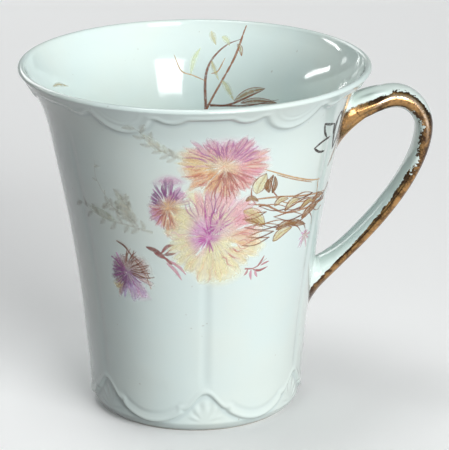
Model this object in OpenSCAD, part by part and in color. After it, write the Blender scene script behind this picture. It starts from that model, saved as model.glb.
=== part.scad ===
// Porcelain chocolate cup: a tall six-panelled beaker with a flared lip, a scalloped rim band,
// a lobed foot edge and one strap handle set on with slip.
// Millimetres, +Z up, origin on the table at the middle of the foot, handle towards +X.

/* [Cup body] */
// Height from the table to the top of the lip
cup_h = 77; // [72:0.5:84]
// Outside radius at the lip
lip_r = 38; // [36:0.5:41]
// Outside radius that the wall would have at table level
base_r = 23.1; // [22.4:0.1:24.6]
// Radius that the wall gains by its straight lean
wall_lean = 3; // [1:0.1:5]
// Radius that the lip gains by its flare
lip_flare = 3.1; // [2:0.1:4.5]
// Height at which the flare starts
flare_z = 59; // [54:0.5:63]

/* [Wall and floor] */
// Wall thickness at the lip
lip_t = 1.5; // [1.2:0.1:2]
// Wall thickness at the foot
foot_t = 2.6; // [2.2:0.1:3.2]
// Floor thickness above the recess
floor_t = 3; // [2.4:0.1:4]
// Radius of the fillet between the floor and the wall
floor_fillet = 5; // [3:0.5:7]

/* [Foot] */
// Outside radius of the foot at the table
foot_r = 20.9; // [20:0.1:21.6]
// Width of the flat ring that stands on the table
foot_flat_w = 1.8; // [1.2:0.1:2.4]
// Depth of the recess under the floor
recess_h = 1.8; // [1.2:0.1:2.4]
// Width of the bevel on each edge of the foot ring
foot_bevel = 0.4; // [0.2:0.1:0.6]

/* [Moulded panels] */
// Number of panels round the cup
panels = 6; // [5:1:8]
// How far the rim band stands proud of the wall
rim_relief = 0.35; // [0.2:0.05:0.5]
// Depth of the rim band's straight edge below the lip
rim_band_h = 2.7; // [2.2:0.1:3.4]
// Drop of the deep scallop in the middle of each panel
deep_drop = 4.1; // [3:0.1:4.6]
// Width of the deep scallop
deep_w = 13.8; // [11:0.2:15]
// Drop of the small scallops beside each crease
small_drop = 1.1; // [0.7:0.1:1.5]
// Width of the small scallops
small_w = 6.4; // [5:0.2:7]
// Distance of the small scallops from their crease, measured at the lip
small_reach = 8.4; // [7:0.2:10]
// How far the panels stand proud of the foot band
foot_step = 0.5; // [0.3:0.05:0.7]
// Height of the lowest point of each foot lobe
lobe_z = 2.3; // [1.8:0.1:2.8]
// Height of the corners between the foot lobes
corner_z = 5.6; // [5:0.1:6.4]
// Width of the foot lobes
lobe_w = 15.4; // [14:0.2:17]
// Height of the peak over each crease
peak_z = 9.4; // [8.4:0.1:10.6]
// Width of the peak at its foot
peak_w = 9.6; // [8:0.2:11]

/* [Handle] */
// Depth of the upper root's middle below the lip
root_drop = 12.4; // [11.5:0.1:14]
// Height of the lower root's middle above the table
tail_z = 27.4; // [24:0.2:32]
// How far the strap's crown lies outside the lip
crown_out = 5.4; // [4.6:0.1:6.4]
// Depth of the strap's crown below the lip, at the strap's middle
crown_drop = 8.6; // [7.8:0.1:9.4]
// How far the strap's outermost point lies outside the lip
reach_out = 12; // [10.5:0.1:15]
// Depth of the outermost point below the lip
reach_drop = 15.5; // [14:0.1:18]
// Width of the strap
strap_w = 8.8; // [7:0.1:10]
// Thickness of the strap
strap_t = 3.3; // [2.8:0.1:4]
// Thickness of the strap at its crown
crown_t = 4.8; // [4:0.1:5.4]
// Height of the upper root on the wall
root_h = 8.4; // [7:0.1:9]
// Width of the upper root on the wall
root_w = 10.6; // [9:0.1:12]
// Height of the lower root on the wall
tail_h = 8.2; // [7:0.1:10]
// Width of the lower root on the wall
tail_w = 9.6; // [8:0.1:11]
// Thickness of the slip that joins the handle to the wall
slip_t = 0.4; // [0.3:0.05:0.6]
// Room left between the slip and the handle's seat
seat_gap = 0.05; // [0.04:0.01:0.1]

/* [Decoration] */
// Thickness of the enamel colours
enamel_t = 0.15; // [0.1:0.01:0.2]
// Thickness of the gilding
gilt_t = 0.12; // [0.1:0.01:0.2]
// Turn of the front spray about the cup, away from the front crease
spray_turn = -5.5; // [-12:0.5:4]
// Height of the large bloom's middle
bloom_z = 47; // [44:0.5:50]
// Radius of the large bloom
bloom_r = 10.6; // [9:0.1:12]
// Radius of the upper bloom across the cup
upper_bloom_r = 9.6; // [8:0.1:11]
// Radius of the bloom on the back
back_bloom_r = 5.2; // [4:0.1:6]
// Width of the painted stems
stem_w = 0.7; // [0.5:0.05:1]
// Width of the gilded leaf lines beside the upper root
gilt_line_w = 0.5; // [0.4:0.05:0.8]

/* [Hidden] */
$fn = 96;

porcelain = "#e4efec";
slip_white = "#dfe6df";
gold = "#a8682f";
enamel_pink = "#cf8fb4";
enamel_brown = "#9a6a45";

// Wall: heights of the sections, close together where the lip flares
wall_top = cup_h - lip_t / 2;
wall_bow = lip_r - base_r - wall_lean - lip_flare;
wall_steps = 9;
flare_steps = 8;
band_z = cup_h - rim_band_h;
scallop_z = band_z - deep_drop;
blend_z = flare_z - 4;
// Height that a cut runs past the shape it trims
clear_z = 0.6;
// Height above which the panels' skin runs unbroken round the cup
panel_z = peak_z + clear_z;
section_z = [
    for (i = [0 : wall_steps - 1]) panel_z + (flare_z - panel_z) * i / wall_steps,
    for (i = [0 : flare_steps - 1]) flare_z + (band_z - flare_z) * i / flare_steps
];

function mix(a, b, s) = a + (b - a) * s;
function ease(a, b, z) = let (s = max(0, min(1, (z - a) / (b - a)))) s * s * (3 - 2 * s);

// Smooth outside of the wall, out to the rim band
function wall_r(z) =
    let (u = z / wall_top, v = max(0, (z - flare_z) / (wall_top - flare_z)))
    base_r + wall_lean * u + wall_bow * u * u + lip_flare * v * v * v;
// Outside of the wall under the rim band
function skin_r(z) = wall_r(z) - rim_relief * ease(blend_z, scallop_z, z);
function wall_t(z) = mix(foot_t, lip_t, z / wall_top);
function inner_r(z) = wall_r(z) - wall_t(z);

// Heights from a to b with the wall's own section heights between them
function heights(a, b) = concat([a], [for (z = section_z) if (z > a + 0.01 && z < b - 0.01) z], [b]);
function reversed(list) = [for (i = [len(list) - 1 : -1 : 0]) list[i]];

floor_z = recess_h + floor_t;
fillet_top_z = floor_z + floor_fillet;
fillet_r = inner_r(fillet_top_z) - floor_fillet;
foot_inner_r = foot_r - foot_flat_w - 2 * foot_bevel;
panel_a = 360 / panels;

// Radius of a disc that shows a lobe of the given width and drop
function lobe_disc_r(w, drop) = (w * w / 4 + drop * drop) / (2 * drop);

// Thin shell round the wall from radius offset a to b, between two heights
module wall_shell(z_low, z_high, a, b) {
    zs = heights(z_low, z_high);
    rotate_extrude()
        polygon(concat(
            [for (z = zs) [skin_r(z) + a, z]],
            [for (z = reversed(zs)) [skin_r(z) + b, z]]));
}

// Revolved body without its relief
module plain_body() {
    lip_arc = [for (a = [0 : 30 : 180])
        [lip_r - lip_t / 2 + lip_t / 2 * cos(a), wall_top + lip_t / 2 * sin(a)]];
    fillet_arc = [for (a = [0 : 15 : 90])
        [fillet_r + floor_fillet * cos(a), fillet_top_z - floor_fillet * sin(a)]];
    rotate_extrude()
        polygon(concat(
            [[foot_r - foot_bevel, 0], [foot_r, foot_bevel]],
            [for (z = [lobe_z, (lobe_z + panel_z) / 2, panel_z]) [skin_r(z) - foot_step, z]],
            [for (z = heights(panel_z, band_z)) [skin_r(z), z]],
            [for (i = [0 : 2]) let (z = mix(band_z, wall_top, i / 3)) [wall_r(z), z]],
            lip_arc,
            [for (z = reversed(heights(fillet_top_z, band_z))) [inner_r(z), z]],
            fillet_arc,
            [[0, floor_z], [0, recess_h], [foot_inner_r - foot_bevel, recess_h],
             [foot_inner_r, foot_bevel], [foot_inner_r + foot_bevel, 0]]));
}

// Round peg that points outwards at angle a, used to shape a scallop or a lobe
module peg(a, z, r, near) {
    rotate([0, 0, a])
        translate([near, 0, z])
        rotate([0, 90, 0])
        cylinder(r = r, h = lip_r);
}

// Rim band's scallops: one deep one in each panel, two small ones beside each crease
module rim_scallops() {
    deep_r = lobe_disc_r(deep_w, deep_drop);
    small_r = lobe_disc_r(small_w, small_drop);
    small_a = atan(small_reach / lip_r);
    zs = heights(scallop_z - clear_z, band_z);
    intersection() {
        rotate_extrude()
            polygon(concat(
                [for (z = zs) [skin_r(z) - wall_t(z) / 3, z]],
                [for (z = reversed(zs)) [wall_r(z), z]]));
        union() {
            for (k = [0 : panels - 1]) {
                peg(k * panel_a, scallop_z + deep_r, deep_r, base_r);
                for (side = [-1, 1])
                    peg((k + 0.5) * panel_a + side * small_a, band_z - small_drop + small_r, small_r, base_r);
            }
        }
    }
}

// Panels' lower edge: a lobe in each panel and a peak over each crease
module foot_lobes() {
    lobe_r = lobe_disc_r(lobe_w, corner_z - lobe_z);
    bite = foot_step + wall_t(peak_z) / 3;
    peak_slope = (peak_z - corner_z) / (peak_w / 2);
    peak_foot_z = corner_z - clear_z;
    peak_foot = (peak_z - peak_foot_z) / peak_slope;
    intersection() {
        wall_shell(lobe_z - clear_z, panel_z, -bite, 0);
        difference() {
            union() {
                for (k = [0 : panels - 1])
                    peg(k * panel_a, lobe_z + lobe_r, lobe_r, base_r / 2);
                translate([0, 0, corner_z])
                    cylinder(r = lip_r, h = peak_z);
            }
            for (k = [0 : panels - 1])
                rotate([0, 0, (k + 0.5) * panel_a])
                    translate([base_r / 2, 0, 0])
                    rotate([90, 0, 90])
                    linear_extrude(lip_r)
                    polygon([[-peak_foot, peak_foot_z], [peak_foot, peak_foot_z], [0, peak_z]]);
        }
    }
}

module cup_body() {
    color(porcelain) {
        plain_body();
        rim_scallops();
        foot_lobes();
    }
}

// Handle: the strap's middle line is three smooth curves in the plane y = 0
root_z = cup_h - root_drop;
crown = [lip_r + crown_out, cup_h - crown_drop];
reach = [lip_r + reach_out, cup_h - reach_drop];
seat = slip_t + seat_gap;
root = [skin_r(root_z) + seat, root_z];
tail = [skin_r(tail_z) + seat, tail_z];
root_pull = [2.5, 1.4];
crown_pull = [3.8, 0];
reach_pull = [0, 3.3];
run_pull = [0, 9.7];
tail_pull = [13.4, 10.9];
root_curve = [root, root + root_pull, crown - crown_pull, crown];
bend_curve = [crown, crown + crown_pull, reach + reach_pull, reach];
run_curve = [reach, reach - run_pull, tail + tail_pull, tail];
root_rings = 7;
bend_rings = 10;
run_rings = 20;
tail_rings = 5;
// Rings over which the crown's thickness falls to the strap's own
crown_fade = 1.6 * bend_rings;

function bezier(c, s) =
    pow(1 - s, 3) * c[0] + 3 * s * pow(1 - s, 2) * c[1] + 3 * s * s * (1 - s) * c[2] + pow(s, 3) * c[3];

strap_path = concat(
    [for (i = [0 : root_rings - 1]) bezier(root_curve, i / root_rings)],
    [for (i = [0 : bend_rings - 1]) bezier(bend_curve, i / bend_rings)],
    [for (i = [0 : run_rings]) bezier(run_curve, i / run_rings)]);
last = len(strap_path) - 1;

// Strap's section: a rounded oval of a fixed number of points
sides = 24;
squareness = 0.78;
function bulge(v) = sign(v) * pow(abs(v), squareness);
function turn(j) = 360 * j / sides;
function unit(v) = v / norm(v);
function outward(k) =
    let (t = unit(strap_path[min(k + 1, last)] - strap_path[max(k - 1, 0)]))
    [-t[1], t[0]];

// Point of a root's outline on the wall, set off by the slip; up is 1 at the upper root and -1 at the lower
function on_wall(y, z, off) = [sqrt(pow(skin_r(z) + off, 2) - y * y), y, z];
function seat_point(j, z, h, w, up, size) =
    on_wall(size * w / 2 * bulge(sin(turn(j))), z + up * size * h / 2 * bulge(cos(turn(j))), seat);
function root_point(j, size) = seat_point(j, root_z, root_h, root_w, 1, size);
function tail_point(j, size) = seat_point(j, tail_z, tail_h, tail_w, -1, size);

function middle(k) = [strap_path[k][0], 0, strap_path[k][1]];
function thick(k) = mix(crown_t, strap_t, ease(0, crown_fade, abs(k - root_rings)));
function free_offset(k, j) =
    let (n = outward(k), a = thick(k) / 2 * bulge(cos(turn(j))))
    [n[0] * a, strap_w / 2 * bulge(sin(turn(j))), n[1] * a];
function ring_point(k, j) =
    let (
        at_root = pow(max(0, 1 - k / root_rings), 2),
        at_tail = pow(max(0, 1 - (last - k) / tail_rings), 2))
    middle(k)
        + (1 - at_root - at_tail) * free_offset(k, j)
        + at_root * (root_point(j, 1) - middle(0))
        + at_tail * (tail_point(j, 1) - middle(last));

// Index of a ring's point, and the two triangles between neighbouring rings
function at(k, j) = k * sides + j % sides;
function skin_pair(k, j) = [
    [at(k, j), at(k + 1, j), at(k + 1, j + 1)],
    [at(k, j), at(k + 1, j + 1), at(k, j + 1)]];

module handle() {
    half = 0.5;
    points = concat(
        [for (j = [0 : sides - 1]) root_point(j, half)],
        [for (k = [0 : last]) for (j = [0 : sides - 1]) ring_point(k, j)],
        [for (j = [0 : sides - 1]) tail_point(j, half)],
        [root_point(0, 0), tail_point(0, 0)]);
    rings = last + 3;
    root_hub = rings * sides;
    tail_hub = root_hub + 1;
    faces = concat(
        [for (k = [0 : rings - 2]) for (j = [0 : sides - 1]) each skin_pair(k, j)],
        [for (j = [0 : sides - 1]) [root_hub, at(0, j), at(0, j + 1)]],
        [for (j = [0 : sides - 1]) [tail_hub, at(rings - 1, j + 1), at(rings - 1, j)]]);
    color(porcelain)
        polyhedron(points = points, faces = faces);
}

// Pad of fired slip between a root and the wall, with the root's own outline
module slip_pad(z, h, w) {
    intersection() {
        wall_shell(z - h, z + h, 0, slip_t);
        rotate([90, 0, 90])
            linear_extrude(lip_r + reach_out)
            polygon([for (j = [0 : sides - 1])
                [w / 2 * bulge(sin(turn(j))), z + h / 2 * bulge(cos(turn(j)))]]);
    }
}

module upper_slip_joint() {
    color(slip_white)
        slip_pad(root_z, root_h, root_w);
}

module lower_slip_joint() {
    color(slip_white)
        slip_pad(tail_z, tail_h, tail_w);
}

// Gold along one side edge of the strap, a thin skin on the strap's own points
gilt_first = root_rings - 5;
gilt_last = last - 1;
gilt_half = sides / 8;

module edge_gilding(quarter) {
    j_first = quarter - gilt_half;
    across = 2 * gilt_half + 1;
    along = gilt_last - gilt_first + 1;
    function lift(k, j) =
        let (n = outward(k), g = unit([cos(turn(j)) / thick(k), sin(turn(j)) / strap_w]))
        gilt_t * [n[0] * g[0], g[1], n[1] * g[0]];
    under = [for (k = [gilt_first : gilt_last]) for (i = [0 : across - 1]) ring_point(k, j_first + i)];
    over = [for (k = [gilt_first : gilt_last]) for (i = [0 : across - 1])
        ring_point(k, j_first + i) + lift(k, j_first + i)];
    count = across * along;
    function low(k, i) = k * across + i;
    function top(k, i) = count + low(k, i);
    faces = concat(
        [for (k = [0 : along - 2]) for (i = [0 : across - 2]) each [
            [top(k, i), top(k + 1, i), top(k + 1, i + 1)],
            [top(k, i), top(k + 1, i + 1), top(k, i + 1)],
            [low(k, i), low(k + 1, i + 1), low(k + 1, i)],
            [low(k, i), low(k, i + 1), low(k + 1, i + 1)]]],
        [for (k = [0 : along - 2]) each [
            [low(k, 0), low(k + 1, 0), top(k + 1, 0)],
            [low(k, 0), top(k + 1, 0), top(k, 0)],
            [low(k, across - 1), top(k + 1, across - 1), low(k + 1, across - 1)],
            [low(k, across - 1), top(k, across - 1), top(k + 1, across - 1)]]],
        [for (i = [0 : across - 2]) each [
            [low(0, i), top(0, i + 1), low(0, i + 1)],
            [low(0, i), top(0, i), top(0, i + 1)],
            [low(along - 1, i), low(along - 1, i + 1), top(along - 1, i + 1)],
            [low(along - 1, i), top(along - 1, i + 1), top(along - 1, i)]]]);
    polyhedron(points = concat(under, over), faces = faces);
}

module handle_gilding() {
    color(gold) {
        edge_gilding(sides / 4);
        edge_gilding(3 * sides / 4);
    }
}

// Painted shapes, drawn flat: x across the cup, y up it
module bloom(place, rx, rz, petals, tilt) {
    notch = 0.84;
    translate(place)
        rotate(tilt)
        polygon([for (i = [0 : 2 * petals - 1])
            let (a = 180 * i / petals, s = i % 2 == 0 ? 1 : notch)
            [rx * s * cos(a), rz * s * sin(a)]]);
}

module leaf(place, length, width, tilt) {
    steps = 4;
    edge = [for (i = [0 : steps]) [length * i / steps, width / 2 * sin(180 * i / steps)]];
    translate(place)
        rotate(tilt)
        polygon(concat(edge, [for (i = [steps - 1 : -1 : 1]) [edge[i][0], -edge[i][1]]]));
}

// Stem of constant width along a bent line from a to c that leans towards b
module stem(a, b, c, width) {
    steps = 5;
    line = [for (i = [0 : steps]) let (s = i / steps) mix(mix(a, b, s), mix(b, c, s), s)];
    side = [for (i = [0 : steps])
        let (t = unit(line[min(i + 1, steps)] - line[max(i - 1, 0)])) width / 2 * [-t[1], t[0]]];
    polygon(concat(
        [for (i = [0 : steps]) line[i] + side[i]],
        [for (i = [steps : -1 : 0]) line[i] - side[i]]));
}

// Flat drawing laid on the outside of the wall, facing -Y before it is turned
module on_outside(z_low, z_high, thickness) {
    intersection() {
        wall_shell(z_low, z_high, 0, thickness);
        rotate([90, 0, 0])
            linear_extrude(lip_r + reach_out)
            children();
    }
}

// Front spray's layout: places across the cup and heights above the large bloom's middle
large_x = 3.6;
large_tall = 1.03;
upper_at = [6.4, 16.4];
upper_flat = 0.6;
side_at = [-7.2, 7.4];
side_size = [3.8, 4.8];
small_at = [-13, -10.4];
small_size = [3.6, 5.6];
stem_tip = [27, 7];
stem_from = [[12, 4], [13, 1]];
stem_bend = [[20, 2], [20, -1]];
upper_stem = [[15, 14.8], [20, 12], [26.4, 11.8]];
// Each leaf's place, length, width and tilt
front_leaves = [
    [[15, -1.6], 7, 2.4, -8],
    [[11.6, -9], 4.6, 1.6, 12],
    [[-8.8, -4.6], 5, 1.6, -12],
    [[-24, 3.6], 8, 2, -6]
];

module front_drawing() {
    translate([0, bloom_z]) {
        bloom([large_x, 0], bloom_r, bloom_r * large_tall, 22, 0);
        bloom(upper_at, upper_bloom_r, upper_bloom_r * upper_flat, 20, 0);
        bloom(side_at, side_size[0], side_size[1], 12, 20);
        bloom(small_at, small_size[0], small_size[1], 14, 32);
        for (i = [0, 1])
            stem(stem_from[i], stem_bend[i], stem_tip, stem_w);
        stem(upper_stem[0], upper_stem[1], upper_stem[2], stem_w);
        for (l = front_leaves)
            leaf(l[0], l[1], l[2], l[3]);
    }
}

module front_spray() {
    color(enamel_pink)
        rotate([0, 0, spray_turn])
        on_outside(panel_z, scallop_z, enamel_t)
        front_drawing();
}

// Inside spray's layout: places across the cup and heights above the knot of its stems
inside_drop = 18;
inside_knot = [2, 0];
long_stem = [[5, 6], [10.4, 14.8]];
bowed_stem = [[0, 9], [7.6, 12.4]];
low_stem = [[8, -1], [16, 3]];
inside_leaves = [
    [[5, 0.4], 8, 2, 20],
    [[3.4, 9.4], 4.4, 1.2, 40]
];

module inside_drawing() {
    translate([0, cup_h - inside_drop]) {
        for (bent = [long_stem, bowed_stem, low_stem])
            stem(inside_knot, bent[0], bent[1], stem_w);
        for (l = inside_leaves)
            leaf(l[0], l[1], l[2], l[3]);
    }
}

module inside_spray() {
    zs = heights(blend_z, band_z);
    color(enamel_brown)
        rotate([0, 0, spray_turn])
        intersection() {
            rotate_extrude()
                polygon(concat(
                    [for (z = zs) [inner_r(z) - enamel_t, z]],
                    [for (z = reversed(zs)) [inner_r(z), z]]));
            rotate([-90, 0, 0])
                linear_extrude(lip_r)
                mirror([0, 1])
                inside_drawing();
        }
}

// Back sprig's layout: places across the cup and heights above the sprig's bloom
sprig_rise = 2;
sprig_flat = 0.8;
sprig_stem = [[2, -2], [6, -7], [11, -8]];
sprig_leaves = [
    [[5, -5.4], 5, 1.8, 10],
    [[-8.6, -4.6], 5, 1.6, 34]
];

module back_sprig() {
    color(enamel_pink)
        rotate([0, 0, 180])
        on_outside(panel_z, scallop_z, enamel_t)
        translate([0, bloom_z + sprig_rise]) {
            bloom([0, 0], back_bloom_r, back_bloom_r * sprig_flat, 16, 0);
            stem(sprig_stem[0], sprig_stem[1], sprig_stem[2], stem_w);
            for (l = sprig_leaves)
                leaf(l[0], l[1], l[2], l[3]);
        }
}

// Outlined leaves in gold beside the upper root: each one's place, length, width and tilt
gilt_turn = 57;
gilt_leaves = [
    [[-3.6, -3], 5, 2.4, 32],
    [[-0.6, -0.8], 5, 2.6, 86],
    [[3.6, -1.6], 5.4, 2.4, 100]
];

module gilt_leaf(place, length, width, tilt) {
    difference() {
        leaf(place, length, width, tilt);
        translate(place)
            rotate(tilt)
            leaf([gilt_line_w, 0], length - 2 * gilt_line_w, width - 2 * gilt_line_w, 0);
    }
}

module root_gilding() {
    color(gold)
        for (side = [0, 1])
            mirror([0, side, 0])
            rotate([0, 0, gilt_turn])
            on_outside(blend_z, scallop_z, gilt_t)
            translate([0, root_z])
            for (l = gilt_leaves)
                gilt_leaf(l[0], l[1], l[2], l[3]);
}

cup_body();
handle();
upper_slip_joint();
lower_slip_joint();
handle_gilding();
root_gilding();
front_spray();
inside_spray();
back_sprig();
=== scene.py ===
import math
from collections import namedtuple

import bpy
import numpy as np
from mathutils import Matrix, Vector


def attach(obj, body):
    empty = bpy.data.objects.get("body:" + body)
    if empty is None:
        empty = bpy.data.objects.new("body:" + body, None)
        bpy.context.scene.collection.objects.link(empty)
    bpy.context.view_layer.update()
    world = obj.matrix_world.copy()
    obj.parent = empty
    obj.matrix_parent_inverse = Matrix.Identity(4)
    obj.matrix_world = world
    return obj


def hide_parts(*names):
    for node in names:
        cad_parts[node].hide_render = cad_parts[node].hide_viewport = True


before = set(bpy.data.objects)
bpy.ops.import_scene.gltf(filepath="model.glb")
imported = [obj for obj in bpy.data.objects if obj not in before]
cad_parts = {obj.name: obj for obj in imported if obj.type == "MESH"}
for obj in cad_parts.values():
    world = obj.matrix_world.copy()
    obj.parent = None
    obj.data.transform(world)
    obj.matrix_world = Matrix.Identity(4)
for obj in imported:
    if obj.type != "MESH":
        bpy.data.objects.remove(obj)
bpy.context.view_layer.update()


# Cup body
# A tall beaker of hard white porcelain, slip-cast in a six-panelled mould and glazed all over
# but for its foot ring. The rim band and the panels' lower edges are moulded with it.
MM = 0.001
CUP_H = 77.0
LIP_R, LIP_T = 38.0, 1.5
BASE_R, FOOT_T = 23.1, 2.6
WALL_LEAN = 3.0
FLARE_Z, LIP_FLARE = 59.0, 3.1
WALL_TOP = CUP_H - LIP_T / 2
WALL_BOW = LIP_R - BASE_R - WALL_LEAN - LIP_FLARE
FLOOR_Z, FLOOR_FILLET = 4.8, 5.0
FOOT_R, FOOT_FLAT_W, FOOT_BEVEL = 20.9, 1.8, 0.4
FOOT_STEP, FOOT_CURVE = 0.5, 0.55
RECESS_H, RECESS_FILLET = 1.8, 1.2
LOBE_Z = 2.3
# Heights between which the wall has no relief but the creases, and the strides of the section
# below, between and above them
PLAIN_LOW, PLAIN_HIGH = 11.0, 69.0
LOW_STRIDE, PLAIN_STRIDE, HIGH_STRIDE = 0.25, 1.25, 0.2


def wall_r(z):
    """Outside radius of the smooth wall at a height, both in mm."""
    u = z / WALL_TOP
    v = max(0.0, (z - FLARE_Z) / (WALL_TOP - FLARE_Z))
    return BASE_R + WALL_LEAN * u + WALL_BOW * u * u + LIP_FLARE * v ** 3


def inner_r(z):
    """Inside radius of the wall, which thins towards the lip."""
    return wall_r(z) - (FOOT_T + (LIP_T - FOOT_T) * z / WALL_TOP)


def arc(r, z, radius, first, last, count):
    """Points of the section round a middle, from one bearing to another, with no relief."""
    bearings = np.radians(np.linspace(first, last, count))
    return [(r + radius * math.cos(a), 0.0, z + radius * math.sin(a)) for a in bearings]


def body_profile():
    """Half section of the cup: radius, one where the mould's relief shows, and height, in mm."""
    foot_in = FOOT_R - FOOT_FLAT_W - 2 * FOOT_BEVEL
    corner_r = foot_in - RECESS_FILLET
    rows = [(0.0, 0.0, RECESS_H)]
    rows += [(r, 0.0, RECESS_H) for r in np.linspace(4, corner_r, 4)]
    rows += arc(corner_r, RECESS_H - RECESS_FILLET, RECESS_FILLET, 90, 0, 5)
    rows += [(foot_in + FOOT_BEVEL * 0.5, 0.0, FOOT_BEVEL * 0.25),
             (foot_in + FOOT_BEVEL, 0.0, 0.0), (FOOT_R - FOOT_BEVEL, 0.0, 0.0),
             (FOOT_R - FOOT_BEVEL * 0.3, 0.0, FOOT_BEVEL * 0.35)]
    foot_low = wall_r(LOBE_Z) - FOOT_STEP
    for z in np.linspace(FOOT_BEVEL, LOBE_Z, 8):
        rise = (z - FOOT_BEVEL) / (LOBE_Z - FOOT_BEVEL)
        rows.append((FOOT_R + (foot_low - FOOT_R) * rise ** FOOT_CURVE + FOOT_STEP, 1.0, z))
    heights = np.concatenate([
        np.arange(LOBE_Z + LOW_STRIDE, PLAIN_LOW, LOW_STRIDE),
        np.arange(PLAIN_LOW + HIGH_STRIDE, PLAIN_HIGH, PLAIN_STRIDE),
        np.arange(PLAIN_HIGH + HIGH_STRIDE, WALL_TOP - HIGH_STRIDE, HIGH_STRIDE), [WALL_TOP]])
    rows += [(wall_r(z), 1.0, z) for z in heights]
    rows += arc(LIP_R - LIP_T / 2, WALL_TOP, LIP_T / 2, 0, 180, 13)[1:]
    fillet_top = FLOOR_Z + FLOOR_FILLET
    rows += [(inner_r(z), 0.0, z) for z in np.linspace(WALL_TOP, fillet_top, 34)[1:]]
    fillet_r = inner_r(fillet_top) - FLOOR_FILLET
    rows += arc(fillet_r, fillet_top, FLOOR_FILLET, 0, -90, 10)[1:]
    rows += [(r, 0.0, FLOOR_Z) for r in np.linspace(fillet_r, 0, 6)[1:]]
    mesh = bpy.data.meshes.new("body_profile")
    mesh.from_pydata(rows, [(i, i + 1) for i in range(len(rows) - 1)], [])
    return mesh, len(rows)


class Field:
    """A number in a node tree, so that the rule of a shape or a finish reads as arithmetic."""

    def __init__(self, tree, socket):
        self.tree, self.socket = tree, socket

    def math(self, kind, *others):
        """One Math node on this number and others."""
        node = self.tree.nodes.new("ShaderNodeMath")
        node.operation = kind
        for slot, value in zip(node.inputs, (self, *others)):
            plug(self.tree, value, slot)
        return Field(self.tree, node.outputs[0])

    def __add__(self, other):
        return self.math("ADD", other)

    def __sub__(self, other):
        return self.math("SUBTRACT", other)

    def __mul__(self, other):
        return self.math("MULTIPLY", other)

    def __truediv__(self, other):
        return self.math("DIVIDE", other)

    def __pow__(self, other):
        return self.math("POWER", other)

    def __neg__(self):
        return self.math("MULTIPLY", -1.0)

    def __rsub__(self, other):
        return -self + other

    def __rtruediv__(self, other):
        return self ** -1.0 * other

    __radd__ = __add__
    __rmul__ = __mul__

    def ease(self, low, high, at_low=0.0, at_high=1.0):
        """Goes smoothly from one value to another while this number goes from low to high."""
        node = self.tree.nodes.new("ShaderNodeMapRange")
        node.interpolation_type = "SMOOTHSTEP"
        for slot, value in zip(node.inputs, (self, low, high, at_low, at_high)):
            plug(self.tree, value, slot)
        return Field(self.tree, node.outputs[0])

    def hump(self, middle, spread):
        """One at the middle, falling smoothly to nothing at a spread to either side."""
        return (self - middle).math("ABSOLUTE").ease(0.0, spread, 1.0, 0.0)


def plug(tree, value, slot):
    """Feeds a socket with a Field, with another node's output or with a plain value."""
    if isinstance(value, Field):
        tree.links.new(value.socket, slot)
    elif isinstance(value, bpy.types.NodeSocket):
        tree.links.new(value, slot)
    else:
        slot.default_value = value


def add(tree, kind, wires=None, **settings):
    """Adds a node with its settings, feeds its named inputs, and gives it back."""
    node = tree.nodes.new(kind)
    for key, value in settings.items():
        setattr(node, key, value)
    for name, value in (wires or {}).items():
        plug(tree, value, next(s for s in node.inputs if s.name == name and s.enabled))
    return node


def made(tree, kind, wires=None, **settings):
    """Adds a node and gives back its first output in use."""
    node = add(tree, kind, wires, **settings)
    return Field(tree, next(s for s in node.outputs if s.enabled))


def vector(tree, **wires):
    """A vector made of its X, Y and Z."""
    return made(tree, "ShaderNodeCombineXYZ", wires)


def parts(tree, value):
    """The X, Y and Z of a vector."""
    split = add(tree, "ShaderNodeSeparateXYZ", {"Vector": value})
    return [Field(tree, s) for s in split.outputs]


GEOMETRY = {"Geometry": "Geometry"}


def new_tree(kind, name, inputs, outputs):
    """A node group with named inputs and outputs, a way to take an input, and its last node."""
    tree = bpy.data.node_groups.new(name, kind + "NodeTree")
    for in_out, sockets in (("INPUT", inputs), ("OUTPUT", outputs)):
        for label, value in sockets.items():
            tree.interface.new_socket(label, in_out=in_out, socket_type="NodeSocket" + value)
    given, result = tree.nodes.new("NodeGroupInput"), tree.nodes.new("NodeGroupOutput")

    def take(label):
        return Field(tree, given.outputs[label])

    return tree, take, result


def grown(name, mesh, tree, inputs):
    """Runs a tree on a mesh and keeps the result as a plain mesh object at the origin."""
    piece = bpy.data.objects.new(name, mesh)
    bpy.context.scene.collection.objects.link(piece)
    tree.is_modifier = True
    modifier = piece.modifiers.new("shape", "NODES")
    modifier.node_group = tree
    for item in tree.interface.items_tree:
        if item.in_out == "INPUT" and item.name in inputs:
            modifier[item.identifier] = inputs[item.name]
    bpy.context.view_layer.update()
    graph = bpy.context.evaluated_depsgraph_get()
    plain = bpy.data.meshes.new_from_object(
        piece.evaluated_get(graph), preserve_all_data_layers=True, depsgraph=graph)
    piece.modifiers.remove(modifier)
    piece.data = plain
    plain.name = name
    return piece


AROUND = 480
PANEL = math.pi / 6
# Rim band: its depth, where it ends on the wall, and its deep and small scallops
RIM_RELIEF, RELIEF_Z = 0.35, 55.0
BAND_Z = CUP_H - 2.7
DEEP_DROP, DEEP_W = 4.1, 13.8
SMALL_DROP, SMALL_W, SMALL_REACH = 1.1, 6.4, 8.4
BEAD, RIM_FLUTE, RIM_FLUTE_PITCH = 0.13, 0.05, 1.15
BAND_EDGE = 0.35
BEAD_TOP = (CUP_H - 1.8, CUP_H - 1.0)
FLUTE_START = (0.2, 1.2)
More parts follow.
